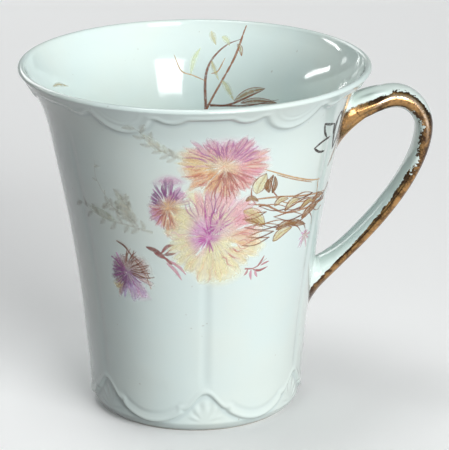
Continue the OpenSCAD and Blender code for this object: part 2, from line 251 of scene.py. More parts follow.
# Panels: the lobes at their lower edge, the peaks between them with a fan below, and the creases
CORNER_Z, LOBE_W = 5.6, 15.4
PEAK_Z, PEAK_W = 9.4, 9.6
HEM, SECOND_HEM = 0.14, 0.1
PANEL_EDGE = 0.3
SECOND_SIDE, SECOND_TOP = (3.0, 6.5), (6.0, 9.0)
FAN, FAN_Z, FAN_RIBS = 0.1, 2.6, 11.0
FAN_SIDE = (2.2, 4.4)
CREASE, CREASE_W, SWELL = 0.16, 1.7, 0.12
CREASE_LOW, CREASE_HIGH = (9.0, 14.0), (62.0, 69.5)
# Lines of relief and of pooled glaze, which also paints shade into the recesses, each as its place
# and half width in mm from the edge that it follows
BEAD_LINE, FLUTE_LINE = (0.5, 0.75), (2.3, 1.7)
HEM_LINE, SECOND_LINE, FAN_LINE = (0.55, 0.7), (2.1, 0.9), (-1.9, 1.6)
RIM_POOL_AND_SHADE, HEM_POOL_AND_SHADE = (-0.45, 0.8), (-0.5, 0.8)
# How softly two edges meet
BLEND, LOBE_BLEND = 0.5, 0.6
WELD = 0.000002


def disc_r(width, drop):
    """Radius of the disc that shows a lobe of the given width and drop."""
    return (width * width / 4 + drop * drop) / (2 * drop)


def body_tree():
    """Turns the half section about the cup's axis and moulds the rim band and panels on it."""
    tree, take, result = new_tree(
        "Geometry", "moulded_body",
        {**GEOMETRY, "Stations": "Int", "Around": "Int", "Rim Relief": "Float",
         "Foot Step": "Float", "Crease": "Float", "Swell": "Float", "Glaze": "Material"}, GEOMETRY)
    stations = take("Stations")
    grid = add(tree, "GeometryNodeMeshGrid",
               {"Vertices X": take("Around") + 1, "Vertices Y": stations}).outputs["Mesh"]
    index = made(tree, "GeometryNodeInputIndex")
    section = made(tree, "GeometryNodeSampleIndex",
                   {"Geometry": take("Geometry"), "Index": index.math("MODULO", stations),
                    "Value": made(tree, "GeometryNodeInputPosition")},
                   data_type="FLOAT_VECTOR", domain="POINT")
    r, shown, z = parts(tree, section)
    theta = (index / stations).math("FLOOR") / take("Around") * (2 * math.pi)

    from_middle = theta.math("PINGPONG", PANEL)
    across = r * from_middle.math("SINE")
    crease = r * (PANEL - from_middle).math("SINE")
    from_crease = crease.math("ABSOLUTE")
    beside = r * (PANEL - math.atan(SMALL_REACH / LIP_R) - from_middle).math("SINE")

    def inside_disc(x, low, radius):
        rise = z - (low + radius)
        return radius - (x * x + rise * rise).math("SQRT")

    deep = inside_disc(across, BAND_Z - DEEP_DROP, disc_r(DEEP_W, DEEP_DROP))
    small = inside_disc(beside, BAND_Z - SMALL_DROP, disc_r(SMALL_W, SMALL_DROP))
    rim = (z - BAND_Z).math("SMOOTH_MAX", deep, BLEND).math("SMOOTH_MAX", small, BLEND)
    band = rim.ease(-BAND_EDGE, BAND_EDGE)
    bead = rim.hump(*BEAD_LINE) * BEAD * (1.0 - z.ease(*BEAD_TOP))
    wave = (rim * (2 * math.pi / RIM_FLUTE_PITCH)).math("COSINE")
    flutes = wave * rim.hump(*FLUTE_LINE) * deep.ease(*FLUTE_START) * RIM_FLUTE

    lobe = inside_disc(across, LOBE_Z, disc_r(LOBE_W, CORNER_Z - LOBE_Z))
    peak = CORNER_Z + from_crease.ease(0.2, PEAK_W / 2, PEAK_Z - CORNER_Z, 0.0)
    beyond = ((z - peak) * 0.75).math("MAXIMUM", (from_crease - PEAK_W / 2) * 0.8)
    lower_edge = lobe.math("SMOOTH_MAX", z - CORNER_Z, LOBE_BLEND)
    panel_edge = lower_edge.math("SMOOTH_MIN", beyond, BLEND)
    panel = panel_edge.ease(-PANEL_EDGE, PANEL_EDGE)
    hem = panel_edge.hump(*HEM_LINE) * HEM
    second = (lobe.hump(*SECOND_LINE) * from_crease.ease(*SECOND_SIDE)
              * z.ease(*SECOND_TOP, 1.0, 0.0))
    ribs = (crease.math("ARCTAN2", z - FAN_Z) * FAN_RIBS).math("COSINE")
    fan = ribs * panel_edge.hump(*FAN_LINE) * from_crease.ease(*FAN_SIDE, 1.0, 0.0) * FAN

    tall = z.ease(*CREASE_LOW) * (1.0 - z.ease(*CREASE_HIGH))
    groove = from_crease.ease(0.0, CREASE_W, 1.0, 0.0) * tall
    belly = (from_middle / PANEL).ease(0.0, 1.0, 1.0, 0.0) * tall

    rise = (take("Rim Relief") * (band - 1.0) * z.ease(RELIEF_Z, BAND_Z - DEEP_DROP)
            + bead + flutes + take("Foot Step") * (panel - 1.0) + hem - second * SECOND_HEM + fan
            - groove * take("Crease") + belly * take("Swell"))
    # Pooled glaze that also stands in for shade: below the rim band's and panels' edges, in the
    # creases and along the second hem
    pool = (rim.hump(*RIM_POOL_AND_SHADE) + panel_edge.hump(*HEM_POOL_AND_SHADE) + groove * 0.5
            + second * 0.4).math("MINIMUM", 1.0) * shown

    reach = (r + rise * shown) * MM
    place = vector(tree, X=reach * theta.math("COSINE"), Y=reach * theta.math("SINE"), Z=z * MM)
    turned = made(tree, "GeometryNodeSetPosition", {"Geometry": grid, "Position": place})
    kept = made(tree, "GeometryNodeStoreNamedAttribute",
                {"Geometry": turned, "Name": "pool", "Value": pool},
                data_type="FLOAT", domain="POINT")
    closed = made(tree, "GeometryNodeMergeByDistance", {"Geometry": kept, "Distance": WELD})
    smooth = made(tree, "GeometryNodeSetShadeSmooth", {"Geometry": closed})
    whole = made(tree, "GeometryNodeRealizeInstances", {"Geometry": smooth})
    glazed = made(tree, "GeometryNodeSetMaterial",
                  {"Geometry": whole, "Material": take("Glaze")})
    plug(tree, glazed, result.inputs["Geometry"])
    return tree


def new_material(name):
    """A material with an empty Principled shader, its tree and that shader."""
    material = bpy.data.materials.new(name)
    material.use_nodes = True
    return material, material.node_tree, material.node_tree.nodes["Principled BSDF"]


def dress(tree, node, finish):
    """Feeds the inputs of a shader or of a group's last node by their names."""
    for name, value in finish.items():
        plug(tree, value, node.inputs[name])


def own_place(tree):
    """The place on the piece, in its own coordinates."""
    return add(tree, "ShaderNodeTexCoord").outputs["Object"]


def stored(tree, name, kind="Fac"):
    """What the mesh stores under a name."""
    return Field(tree, add(tree, "ShaderNodeAttribute", attribute_name=name).outputs[kind])


def noise(tree, scale, detail=3.0, rough=0.55, at=None):
    """Noise over the piece, in patches of about one over the scale in metres."""
    return made(tree, "ShaderNodeTexNoise", {"Vector": at or own_place(tree), "Scale": scale,
                                             "Detail": detail, "Roughness": rough})


def blend(tree, share, first, second):
    """Mixes two colours by a share from 0 to 1."""
    node = add(tree, "ShaderNodeMix", data_type="RGBA")
    for slot, value in zip((s for s in node.inputs if s.enabled), (share, first, second)):
        plug(tree, value, slot)
    return next(s for s in node.outputs if s.enabled)


def bumped(tree, height, strength, depth):
    """A surface made uneven by a height."""
    return made(tree, "ShaderNodeBump",
                {"Height": height, "Strength": strength, "Distance": depth})


GLAZE_WHITE = (0.745, 0.87, 0.85, 1.0)
GLAZE_WARM = (0.775, 0.87, 0.825, 1.0)
# Darker, greener glaze where it pools, also standing in for shade in the recesses
GLAZE_POOL_AND_SHADE = (0.62, 0.735, 0.725, 1.0)
GLAZE_SPECK = (0.33, 0.30, 0.24, 1.0)
BISQUE = (0.70, 0.68, 0.60, 1.0)
DARK_BISQUE = (0.58, 0.55, 0.47, 1.0)


def glaze_group():
    """Colour, gloss and ripple of a clear glaze over white porcelain, darker and greener where it
    pools, which also paints shade into the recesses.
    """
    tree, take, result = new_tree("Shader", "clear_glaze", {"Pool And Shade": "Float"},
                                  {"Color": "Color", "Roughness": "Float", "Height": "Float"})
    body = blend(tree, noise(tree, 38.0).ease(0.35, 0.68), GLAZE_WHITE, GLAZE_WARM)
    # Pooled glaze and painted shade, darker in the recesses
    pooled = blend(tree, take("Pool And Shade") * 0.75, body, GLAZE_POOL_AND_SHADE)
    speck = noise(tree, 900.0, 1.0).ease(0.77, 0.81)
    dress(tree, result, {
        "Color": blend(tree, speck * 0.35, pooled, GLAZE_SPECK),
        "Roughness": noise(tree, 120.0, 4.0).ease(0.3, 0.75, 0.07, 0.15),
        "Height": noise(tree, 75.0, 2.0) + noise(tree, 420.0, 2.0) * 0.12})
    return tree


def glaze_material(name, bare_foot):
    """White glaze, with the foot ring left bare where the piece stands on the table."""
    material, tree, shader = new_material(name)
    glaze = add(tree, "ShaderNodeGroup", {"Pool And Shade": stored(tree, "pool")}, node_tree=clear_glaze)
    color, rough = glaze.outputs["Color"], glaze.outputs["Roughness"]
    if bare_foot:
        height = parts(tree, own_place(tree))[2] + (noise(tree, 260.0) - 0.5) * 0.0003
        bare = height.ease(0.00022, 0.0004, 1.0, 0.0)
        clay = blend(tree, noise(tree, 500.0, 5.0), BISQUE, DARK_BISQUE)
        color = blend(tree, bare, color, clay)
        rough = bare.ease(0.0, 1.0, rough, 0.75)
    dress(tree, shader, {
        "Base Color": color, "Roughness": rough, "IOR": 1.52, "Coat Weight": 0.35,
        "Coat Roughness": 0.03, "Normal": bumped(tree, glaze.outputs["Height"], 0.35, 0.0004)})
    return material


def stands_for(piece, node):
    """Fixes a piece to the part's one body, in place of a node."""
    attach(piece, "root")
    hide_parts(node)


clear_glaze = glaze_group()
body_glaze = glaze_material("white_glaze_body", bare_foot=True)
profile, station_count = body_profile()
cup_body = grown("porcelain_body", profile, body_tree(), {
    "Stations": station_count, "Around": AROUND, "Rim Relief": RIM_RELIEF, "Foot Step": FOOT_STEP,
    "Crease": CREASE, "Swell": SWELL, "Glaze": body_glaze})
stands_for(cup_body, "cup_body")


# Handle
# One porcelain strap, pressed in a mould, bent to a loop while soft and fluted where it leaves
# the upper root. It is stuck to the wall with slip at both ends and glazed with the cup.
Seat = namedtuple("Seat", "z height width up")
# An end of the strap on the wall: where its middle is, its height and width, and 1 where the
# strap's outer face is on top
UPPER_SEAT = Seat(CUP_H - 12.4, 8.4, 10.6, 1)
LOWER_SEAT = Seat(27.4, 8.2, 9.6, -1)
SEAT_GAP = 0.45
END_SHARE, END_SUNK = 0.9, 0.6
STRAP_W, STRAP_T, CROWN_T = 8.8, 3.3, 4.8
# Places along each of the strap's three curves, and round it
STRAP_STEPS, STRAP_SIDES = (26, 34, 64), 56
SQUARENESS = 0.9
FLUTE, FLUTE_COUNT, FLUTE_END = 0.26, 8, 0.95
# The crown and the outermost place of the middle line, from the lip's edge and the rim, and how
# far the curves are pulled at their ends
CROWN_OUT, CROWN_DROP = 5.4, 8.6
REACH_OUT, REACH_DROP = 12.0, 15.5
ROOT_PULL, CROWN_PULL = (2.5, 1.4), (3.8, 0.0)
BEND_PULL, LIMB_PULL, TAIL_PULL = (0.0, 3.3), (0.0, 9.7), (13.4, 10.9)
# The strap thins away from its crown with a measure that grows by the first three of these over
# its three curves, and is thinnest once that reaches the last
ROOT_RUN, BEND_RUN, LIMB_RUN, THIN_RUN = 7, 10, 20, 16


def eased(s):
    """Goes smoothly from 0 to 1 with s, and stays there."""
    s = min(1.0, max(0.0, s))
    return s * s * (3 - 2 * s)


def skin_r(z):
    """Outside radius of the wall under the rim band's relief."""
    return wall_r(z) - RIM_RELIEF * eased((z - RELIEF_Z) / (BAND_Z - DEEP_DROP - RELIEF_Z))


def strap_curves():
    """The three curves of the middle line, each as its ends and the points that pull it."""
    root, tail = (np.array((skin_r(seat.z) + SEAT_GAP, seat.z))
                  for seat in (UPPER_SEAT, LOWER_SEAT))
    crown = np.array((LIP_R + CROWN_OUT, CUP_H - CROWN_DROP))
    reach = np.array((LIP_R + REACH_OUT, CUP_H - REACH_DROP))
    return ((root, root + ROOT_PULL, crown - CROWN_PULL, crown),
            (crown, crown + CROWN_PULL, reach + BEND_PULL, reach),
            (reach, reach - LIMB_PULL, tail + TAIL_PULL, tail))


STRAP = strap_curves()


def strap_line(t):
    """Point on the middle line: 0 at the upper root, 1 crown, 2 outermost, 3 lower root."""
    part = min(2, max(0, int(t)))
    s = t - part
    a, b, c, d = STRAP[part]
    return (1 - s) ** 3 * a + 3 * s * (1 - s) ** 2 * b + 3 * s * s * (1 - s) * c + s ** 3 * d


def strap_thick(t):
    """Thickness of the strap, which is greatest at the crown."""
    if t < 1:
        away = ROOT_RUN * (1 - t)
    elif t < 2:
        away = BEND_RUN * (t - 1)
    else:
        away = BEND_RUN + LIMB_RUN * (t - 2)
    return CROWN_T + (STRAP_T - CROWN_T) * eased(away / THIN_RUN)


def rounded(v):
    """A sine or cosine, for an oval that is a little squarish."""
    return math.copysign(abs(v) ** SQUARENESS, v)


def scaled(seat, share):
    """The same seat, smaller or larger."""
    return seat._replace(height=seat.height * share, width=seat.width * share)


def seat_point(seat, turn, off):
    """Point of a seat's outline on the wall, set off from it."""
    y = seat.width / 2 * rounded(math.sin(turn))
    z = seat.z + seat.up * seat.height / 2 * rounded(math.cos(turn))
    return np.array((math.sqrt((skin_r(z) + off) ** 2 - y * y), y, z))


def strap_point(t, turn, lift=0.0):
    """Point on the strap's skin; turn 0 is the outer face and a quarter turn the side at +Y."""
    x, z = strap_line(t)
    ahead, behind = strap_line(min(3.0, t + 0.01)), strap_line(max(0.0, t - 0.01))
    along = (ahead - behind) / np.linalg.norm(ahead - behind)
    thick = strap_thick(t)
    slope = np.array((math.cos(turn) / thick, math.sin(turn) / STRAP_W))
    slope /= np.linalg.norm(slope)
    fluted = math.sin(math.pi * min(1.0, t / FLUTE_END)) ** 2
    lift += FLUTE * math.cos(FLUTE_COUNT * turn) * fluted
    a = thick / 2 * rounded(math.cos(turn)) + lift * slope[0]
    b = STRAP_W / 2 * rounded(math.sin(turn)) + lift * slope[1]
    free = np.array((-along[1] * a, b, along[0] * a))
    at_root = max(0.0, 1 - t) ** 2
    at_tail = max(0.0, 1 - 4 * (3 - t)) ** 2
    root = seat_point(UPPER_SEAT, turn, SEAT_GAP) - (strap_line(0)[0], 0, UPPER_SEAT.z)
    tail = seat_point(LOWER_SEAT, turn, SEAT_GAP) - (strap_line(3)[0], 0, LOWER_SEAT.z)
    middle = np.array((x, 0.0, z))
    return middle + (1 - at_root - at_tail) * free + at_root * root + at_tail * tail


def mesh_piece(name, points, faces, material):
    """A smooth mesh object from points in mm and outward faces."""
    mesh = bpy.data.meshes.new(name)
    mesh.from_pydata([tuple(np.asarray(p) * MM) for p in points], [], faces)
    mesh.materials.append(material)
    mesh.polygons.foreach_set("use_smooth", [True] * len(mesh.polygons))
    mesh.update()
    piece = bpy.data.objects.new(name, mesh)
    bpy.context.scene.collection.objects.link(piece)
    return piece


def skin_faces(rings, sides, first=0, joined=False):
    """Faces of a skin over rings of points, with the last ring joined to the first or not."""
    faces = []
    for k in range(rings if joined else rings - 1):
        here, there = first + k * sides, first + (k + 1) % rings * sides
        for j in range(sides):
            n = (j + 1) % sides
            faces.append((here + j, there + j, there + n, here + n))
    return faces


def strap_mesh():
    """Points and faces of the strap, whose ends are sunk in the wall and closed round a hub."""
    steps = np.concatenate([np.linspace(k, k + 1, count)[min(k, 1):]
                            for k, count in enumerate(STRAP_STEPS)])
    points = [seat_point(scaled(UPPER_SEAT, END_SHARE), a, -END_SUNK) for a in turns]
    points += [strap_point(t, a) for t in steps for a in turns]
    points += [seat_point(scaled(LOWER_SEAT, END_SHARE), a, -END_SUNK) for a in turns]
    hub, last = len(points), len(points) - STRAP_SIDES
    points += [(skin_r(seat.z) - END_SUNK, 0, seat.z) for seat in (UPPER_SEAT, LOWER_SEAT)]
    faces = skin_faces(len(steps) + 2, STRAP_SIDES)
    for j in range(STRAP_SIDES):
        n = (j + 1) % STRAP_SIDES
        faces += [(hub, j, n), (hub + 1, last + n, last + j)]
    return points, faces


turns = [2 * math.pi * j / STRAP_SIDES for j in range(STRAP_SIDES)]
handle_glaze = glaze_material("white_glaze_handle", bare_foot=False)
handle = mesh_piece("handle_strap", *strap_mesh(), handle_glaze)
stands_for(handle, "handle")


# Slip joints
# Fired slip round each root, wiped to a small hollow fillet between the strap and the wall,
# and covered by the same glaze.
Slip = namedtuple("Slip", "seat sag fill high low")
# Slip round a seat: how far it sags below it and fills the corner there, and the strap's places
# where it ends on the upper and on the lower side
UPPER_SLIP = Slip(UPPER_SEAT, 3.8, 1.3, 0.14, 0.46)
LOWER_SLIP = Slip(LOWER_SEAT, 1.9, 0.0, 2.965, 2.91)
FILLET, FILLET_STEPS = 1.1, 9
FOOT_OFF, KNEE_OFF, TOP_OFF = -0.06, 0.1, -0.05
CORE_SHARE, CORE_SUNK = 0.8, 0.4


def lowered(seat, drop, grow):
    """A seat drawn out below by a drop and widened all round."""
    return Seat(seat.z - drop / 2, seat.height + drop + grow, seat.width + grow, seat.up)


def fillet_point(slip, turn, s, grow=0.0, off=0.0):
    """Point of the hollow curve from the wall to the strap, whose foot sags below the seat."""
    low = (1 - slip.seat.up * math.cos(turn)) / 2
    foot = seat_point(lowered(slip.seat, slip.sag, 2 * FILLET + grow), turn, off + FOOT_OFF)
    knee = seat_point(lowered(slip.seat, slip.fill, grow), turn, off + KNEE_OFF)
    top = strap_point(slip.high + (slip.low - slip.high) * low, turn, off + TOP_OFF)
    return (1 - s) ** 2 * foot + 2 * s * (1 - s) * knee + s * s * top


def slip_fillet(name, node, slip):
    """Ring of slip round a root: a hollow curve from the wall to the strap, closed underneath."""
    core = scaled(slip.seat, CORE_SHARE)
    points = []
    for a in turns:
        points += [fillet_point(slip, a, s) for s in np.linspace(0, 1, FILLET_STEPS)]
        points.append(seat_point(core, a, -CORE_SUNK))
    faces = skin_faces(STRAP_SIDES, FILLET_STEPS + 1, joined=True)
    if slip.seat.up > 0:
        faces = [face[::-1] for face in faces]
    stands_for(mesh_piece(name, points, faces, handle_glaze), node)


slip_fillet("upper_slip_fillet", "upper_slip_joint", UPPER_SLIP)
slip_fillet("lower_slip_fillet", "lower_slip_joint", LOWER_SLIP)


# Gilding on the handle
# Brushed gold fired on both side edges of the strap, thick over the flutes at the upper root,
# worn through to the white glaze where fingers rub it.
GILT_LIFT, GILT_SUNK, GILT_EDGE_SUNK = 0.05, 0.1, 0.02
GILT_ACROSS, STRIP_ROWS, APRON_ROWS = 15, 190, 44
# Middle-line place, then the section angles between which the gold lies, in degrees
GILT_REACH = ((0.1, 52, 160), (0.35, 54, 156), (0.6, 60, 140), (0.8, 36, 136), (0.95, 14, 134),
              (1.3, 14, 138), (1.7, 26, 150), (2.0, 28, 152), (2.3, 28, 142), (2.6, 26, 130),
              (2.85, 24, 112), (2.97, 24, 92))
# How far an apron's upper and lower sheets stand out round the slip, and off it
APRON_SHEETS = ((0.1, 0.08), (-0.3, -0.12))
# How worn an apron is at its foot on the wall, and how that falls towards the strap
FOOT_WEAR, WEAR_FALL = 0.95, 1.2


def film_faces(rows, across, flip):
    """Faces of a thin film: an upper and a lower sheet of rows of points, closed round the edge."""
    low = rows * across
    faces = []

    def face(*corners):
        faces.append(corners[::-1] if flip else corners)

    for k in range(rows - 1):
        for i in range(across - 1):
            a, b = k * across + i, (k + 1) * across + i
            face(a, b, b + 1, a + 1)
            face(low + a, low + a + 1, low + b + 1, low + b)
        a, b = k * across, (k + 1) * across
        face(a, low + a, low + b, b)
        a, b = a + across - 1, b + across - 1
        face(a, b, low + b, low + a)
    for i in range(across - 1):
        face(i, i + 1, low + i + 1, low + i)
        e = (rows - 1) * across + i
        face(e, low + e, low + e + 1, e + 1)
    return faces


def keep_brush(mesh, rows):
    """Stores where each point lies along and across its brush stroke, and the stroke's tint."""
    held = mesh.attributes.new("brush", "FLOAT_VECTOR", "POINT")
    held.data.foreach_set("vector", np.array(rows, np.float32).ravel())


def gild(name, points, rows, brush, flip):
    """Makes a film of gold a piece of the part."""
    piece = mesh_piece(name, points, film_faces(rows, GILT_ACROSS, flip), worn_gold)
    keep_brush(piece.data, brush)
    piece.visible_shadow = False
    stands_for(piece, "handle_gilding")


def gilt_strip(name, side):
    """Film of gold along one side of the strap, with its edges sunk in the glaze."""
    places, low, high = zip(*GILT_REACH)
    points, brush = [], []
    for lift in (GILT_LIFT, -GILT_SUNK):
        for t in np.linspace(places[0], places[-1], STRIP_ROWS):
            first, last = np.interp(t, places, low), np.interp(t, places, high)
            for across in np.linspace(-1, 1, GILT_ACROSS):
                turn = math.radians(first + (last - first) * (across + 1) / 2)
                edge = 1 - abs(across) ** 6
                raised = lift * edge - GILT_EDGE_SUNK * (1 - edge) if lift > 0 else lift
                points.append(strap_point(t, side * turn, raised))
                brush.append((t / 3, across, 0.0))
    gild(name, points, STRIP_ROWS, brush, side < 0)


def gilt_apron(name, side, slip, first, last, along):
    """Film of gold over the slip between two bearings in degrees, where the strip runs on from
    the strap to the wall, with the strip's wear at a place along it."""
    points, brush = [], []
    for grow, off in APRON_SHEETS:
        for bearing in np.linspace(first, last, APRON_ROWS):
            rim = abs(2 * (bearing - first) / (last - first) - 1) ** 2
            for s in np.linspace(0, 1, GILT_ACROSS):
                points.append(fillet_point(slip, side * math.radians(bearing), s, grow, off))
                brush.append((along, max(rim, FOOT_WEAR - WEAR_FALL * s), 0.0))
    gild(name, points, APRON_ROWS, brush, side * slip.seat.up > 0)


GOLD_BRIGHT = (0.56, 0.31, 0.115, 1.0)
# Dark brown of patina, also used for the painted dark reflection
GOLD_PATINA_AND_DARK_REFLECTION = (0.085, 0.04, 0.018, 1.0)
# Pinkish white of the highlight painted along the ridge
GOLD_RIDGE_HIGHLIGHT = (0.95, 0.70, 0.50, 1.0)


def gold_material(name):
    """Old brushed gold: patina in brown patches, a painted dark reflection towards the edges and a
    painted highlight along its ridge; rubbed away over the crown and the inner edge."""
    material, tree, shader = new_material(name)
    along, across, _ = parts(tree, stored(tree, "brush", "Vector"))
    edge = across.math("ABSOLUTE")
    patch = noise(tree, 420.0, 4.0)
    fine = noise(tree, 1700.0)
    # Brown patina in patches, with painted dark reflection at the edges, limb and crown, less at
    # the root
    over_crown = along.ease(0.2, 0.26) * along.ease(0.5, 0.62, 1.0, 0.0)
    crown = across.ease(-0.62, -0.2, 1.0, 0.0) * over_crown
    root = along.ease(0.12, 0.24, 1.0, 0.0)
    limb = along.hump(0.66, 0.24) * 0.3
    patina = (patch * 0.65 + fine * 0.35).ease(0.4, 0.56) * 0.75
    brown = patina + edge.ease(0.2, 0.75) * 0.6 + limb - root * 0.5 + crown
    gold_patina_and_shade = blend(tree, brown.math("MINIMUM", 1.0), GOLD_BRIGHT, GOLD_PATINA_AND_DARK_REFLECTION)
    # A highlight painted along the ridge of the gold band
    ridge = across.hump(-0.1, 0.22) * along.hump(0.44, 0.32).ease(0.0, 0.4) * fine.ease(0.25, 0.5)

    # Rubbed away over the crown, towards the inner edge of the limb and in one gap across it
    inner = across.ease(-0.35, 0.7) * (along.hump(0.62, 0.26) * 0.42 + 0.04)
    gap = along.hump(0.745, 0.03) * across.ease(-0.6, 0.2) * 0.4
    keep = edge.ease(0.6, 1.03, 0.95, 0.3) - crown * 0.64 - inner - gap
    grain = noise(tree, 560.0, 5.0, 0.62) * 0.62 + noise(tree, 2100.0, 2.0) * 0.38
    flake = (grain - 0.5) * 2.3 + 0.5
    soft = root * 0.27 + 0.03
    dress(tree, shader, {
        "Base Color": blend(tree, ridge, gold_patina_and_shade, GOLD_RIDGE_HIGHLIGHT),
        "Roughness": patch.ease(0.3, 0.7, 0.16, 0.32), "Metallic": 0.9,
        "Coat Weight": 0.25, "Coat Roughness": 0.1,
        "Alpha": (keep - flake).ease(-soft, soft), "Normal": bumped(tree, fine, 0.25, 0.0001)})
    return material


worn_gold = gold_material("worn_gold")
for side, place in ((-1, "front"), (1, "back")):
    gilt_strip("gilt_edge_" + place, side)
    gilt_apron("gilt_root_" + place, side, UPPER_SLIP, first=58, last=164, along=0.03)
    gilt_apron("gilt_tail_" + place, side, LOWER_SLIP, first=24, last=88, along=0.98)


# Gilding beside the upper root
# Leaf outlines drawn on the wall in gold with a fine brush, on both sides of the handle's root.
# Every drawing on the cup is laid on the wall the same way, flat first and then wrapped.
ARC_R = 28.0
ARC = ARC_R * math.pi / 180
VIEW_BEARING = -5.5
VIEW_MIDDLE = VIEW_BEARING - 90.0
WALL_INPUTS = {**GEOMETRY, "Wall": "Object", "Middle": "Float", "Side": "Float", "Lift": "Float",
               "Enamel": "Material"}
# How far off the cup's axis the search for the wall's outside starts, and how far it goes, both
# in metres; the search for the inside starts on the axis
RAY_START, RAY_LENGTH = 0.06, 0.1
# What lies lower than this in mm is a drawing's underside, which stays sunk in the glaze
UNDERSIDE = -0.04
# Edges that fold more than this, in radians, stay crisp
FOLD = 0.6


def lay_on_wall(tree, take, drawing):
    """Wraps a flat drawing on the wall: x is the arc and y the height in mm, z the lift."""
    x, y, z = parts(tree, made(tree, "GeometryNodeInputPosition"))
    side = take("Side")
    theta = take("Middle") * (math.pi / 180) + side * x / ARC_R
    cos, sin = theta.math("COSINE"), theta.math("SINE")
    start = (side + 1.0) * (RAY_START / 2)
    wall = add(tree, "GeometryNodeObjectInfo", {"Object": take("Wall")}).outputs["Geometry"]
    ray = add(tree, "GeometryNodeRaycast",
              {"Target Geometry": wall, "Ray Length": RAY_LENGTH,
               "Source Position": vector(tree, X=cos * start, Y=sin * start, Z=y * MM),
               "Ray Direction": vector(tree, X=-side * cos, Y=-side * sin)})
    rise = (z + z.math("GREATER_THAN", UNDERSIDE) * take("Lift")) * MM
    lift = add(tree, "ShaderNodeVectorMath", {"Scale": rise}, operation="SCALE")
    plug(tree, ray.outputs["Hit Normal"], lift.inputs[0])
    place = add(tree, "ShaderNodeVectorMath", operation="ADD")
    plug(tree, ray.outputs["Hit Position"], place.inputs[0])
    plug(tree, lift.outputs[0], place.inputs[1])
    laid = made(tree, "GeometryNodeSetPosition",
                {"Geometry": drawing, "Position": place.outputs[0]})
    smooth = made(tree, "GeometryNodeSetShadeSmooth", {"Geometry": laid})
    fold = made(tree, "GeometryNodeInputMeshEdgeAngle").math("GREATER_THAN", FOLD)
    crisp = made(tree, "GeometryNodeSetShadeSmooth",
                 {"Geometry": smooth, "Selection": fold, "Shade Smooth": False}, domain="EDGE")
    whole = made(tree, "GeometryNodeRealizeInstances", {"Geometry": crisp})
    return made(tree, "GeometryNodeSetMaterial", {"Geometry": whole, "Material": take("Enamel")})


def laid_piece(name, node, mesh, tree, inputs):
    """A drawing laid on the wall, as one piece that stands for a node of the part."""
    piece = grown(name, mesh, tree, {"Wall": cup_body, **inputs})
    piece.visible_shadow = False
    stands_for(piece, node)


def stroke_tree():
    """Lays brush strokes on the wall."""
    tree, take, result = new_tree("Geometry", "laid_strokes", WALL_INPUTS, GEOMETRY)
    plug(tree, lay_on_wall(tree, take, take("Geometry")), result.inputs["Geometry"])
    return tree


STROKE_LIFT, STROKE_SUNK = 0.05, 0.12
STROKE_STEPS = 18
# Strokes of one drawing lie on a few levels in turn, so that those that cross don't flicker
LEVELS, LEVEL_RISE = 5, 0.012
LEAF_TIP = 0.03
# Places across a stroke and their lift in mm, over its top and back underneath
LINE_SECTION = ((-1, 0.0), (0, STROKE_LIFT), (1, 0.0), (0, -STROKE_SUNK))
WASH_SECTION = ((-1, 0.01), (-0.75, 0.03), (-0.5, 0.04), (-0.25, STROKE_LIFT), (0, STROKE_LIFT),
                (0.25, STROKE_LIFT), (0.5, 0.04), (0.75, 0.03), (1, 0.01),
                (0.6, -STROKE_SUNK), (0, -STROKE_SUNK), (-0.6, -STROKE_SUNK))


def smooth_line(knots, count):
    """Points along a smooth line through the knots, given in degrees round the cup and mm up it,
    and the direction at each."""
    line = np.array([(a * ARC, z) for a, z in knots], float)
    ends = np.vstack([2 * line[0] - line[1], line, 2 * line[-1] - line[-2]])
    found = []
    for u in np.linspace(0, len(line) - 1 - 1e-9, count):
        k = int(u)
        s = u - k
        p, q, r, w = ends[k:k + 4]
        found.append(0.5 * (2 * q + (r - p) * s + (2 * p - 5 * q + 4 * r - w) * s * s
                            + (3 * q - p - 3 * r + w) * s ** 3))
    line = np.array(found)
    run = np.gradient(line, axis=0)
    return line, run / np.linalg.norm(run, axis=1)[:, None]


def swell(shape, s):
    """Share of its width that a stroke has along its length: a line keeps it and tapers at its
    ends, and a leaf swells between its ends."""
    if shape == "leaf":
        return math.sin(math.pi * s ** 0.85) ** 0.8
    if shape == "taper":
        return (1.05 - s) ** 0.7
    return 0.45 + 0.55 * min(1.0, 5 * s, 5 * (1 - s))


def brushed_mesh(name, points, faces, brush):
    """A flat mesh that holds where its points lie in their brush strokes."""
    mesh = bpy.data.meshes.new(name)
    mesh.from_pydata(points, [], faces)
    mesh.update()
    keep_brush(mesh, brush)
    return mesh


def strokes_mesh(name, strokes, section):
    """Flat brush strokes in one mesh. Each is its knots, width in mm, shape and tint."""
    points, faces, brush = [], [], []
    sides = len(section)
    for order, (knots, width, shape, tint) in enumerate(strokes):
        line, run = smooth_line(knots, STROKE_STEPS)
        first = len(points)
        level = LEVEL_RISE * (order % LEVELS)
        for k in range(STROKE_STEPS):
            s = k / (STROKE_STEPS - 1)
            half = width / 2 * swell(shape, s) + (LEAF_TIP if shape == "leaf" else 0.0)
            side = np.array((-run[k][1], run[k][0])) * half
            for across, lift in section:
                x, y = line[k] + side * across
                points.append((x, y, lift + (level if lift >= 0 else 0.0)))
                brush.append((s, across, tint))
        faces += skin_faces(STROKE_STEPS, sides, first)
        faces.append(tuple(range(first, first + sides)))
        faces.append(tuple(range(len(points) - sides, len(points)))[::-1])
    return brushed_mesh(name, points, faces, brush)


laid_strokes = stroke_tree()


def painted(name, node, strokes, enamel, middle, side=1.0, lift=0.0, section=LINE_SECTION):
    """Strokes laid on the wall with a brush."""
    laid_piece(name, node, strokes_mesh(name, strokes, section), laid_strokes,
               {"Middle": middle, "Side": side, "Lift": lift, "Enamel": enamel})


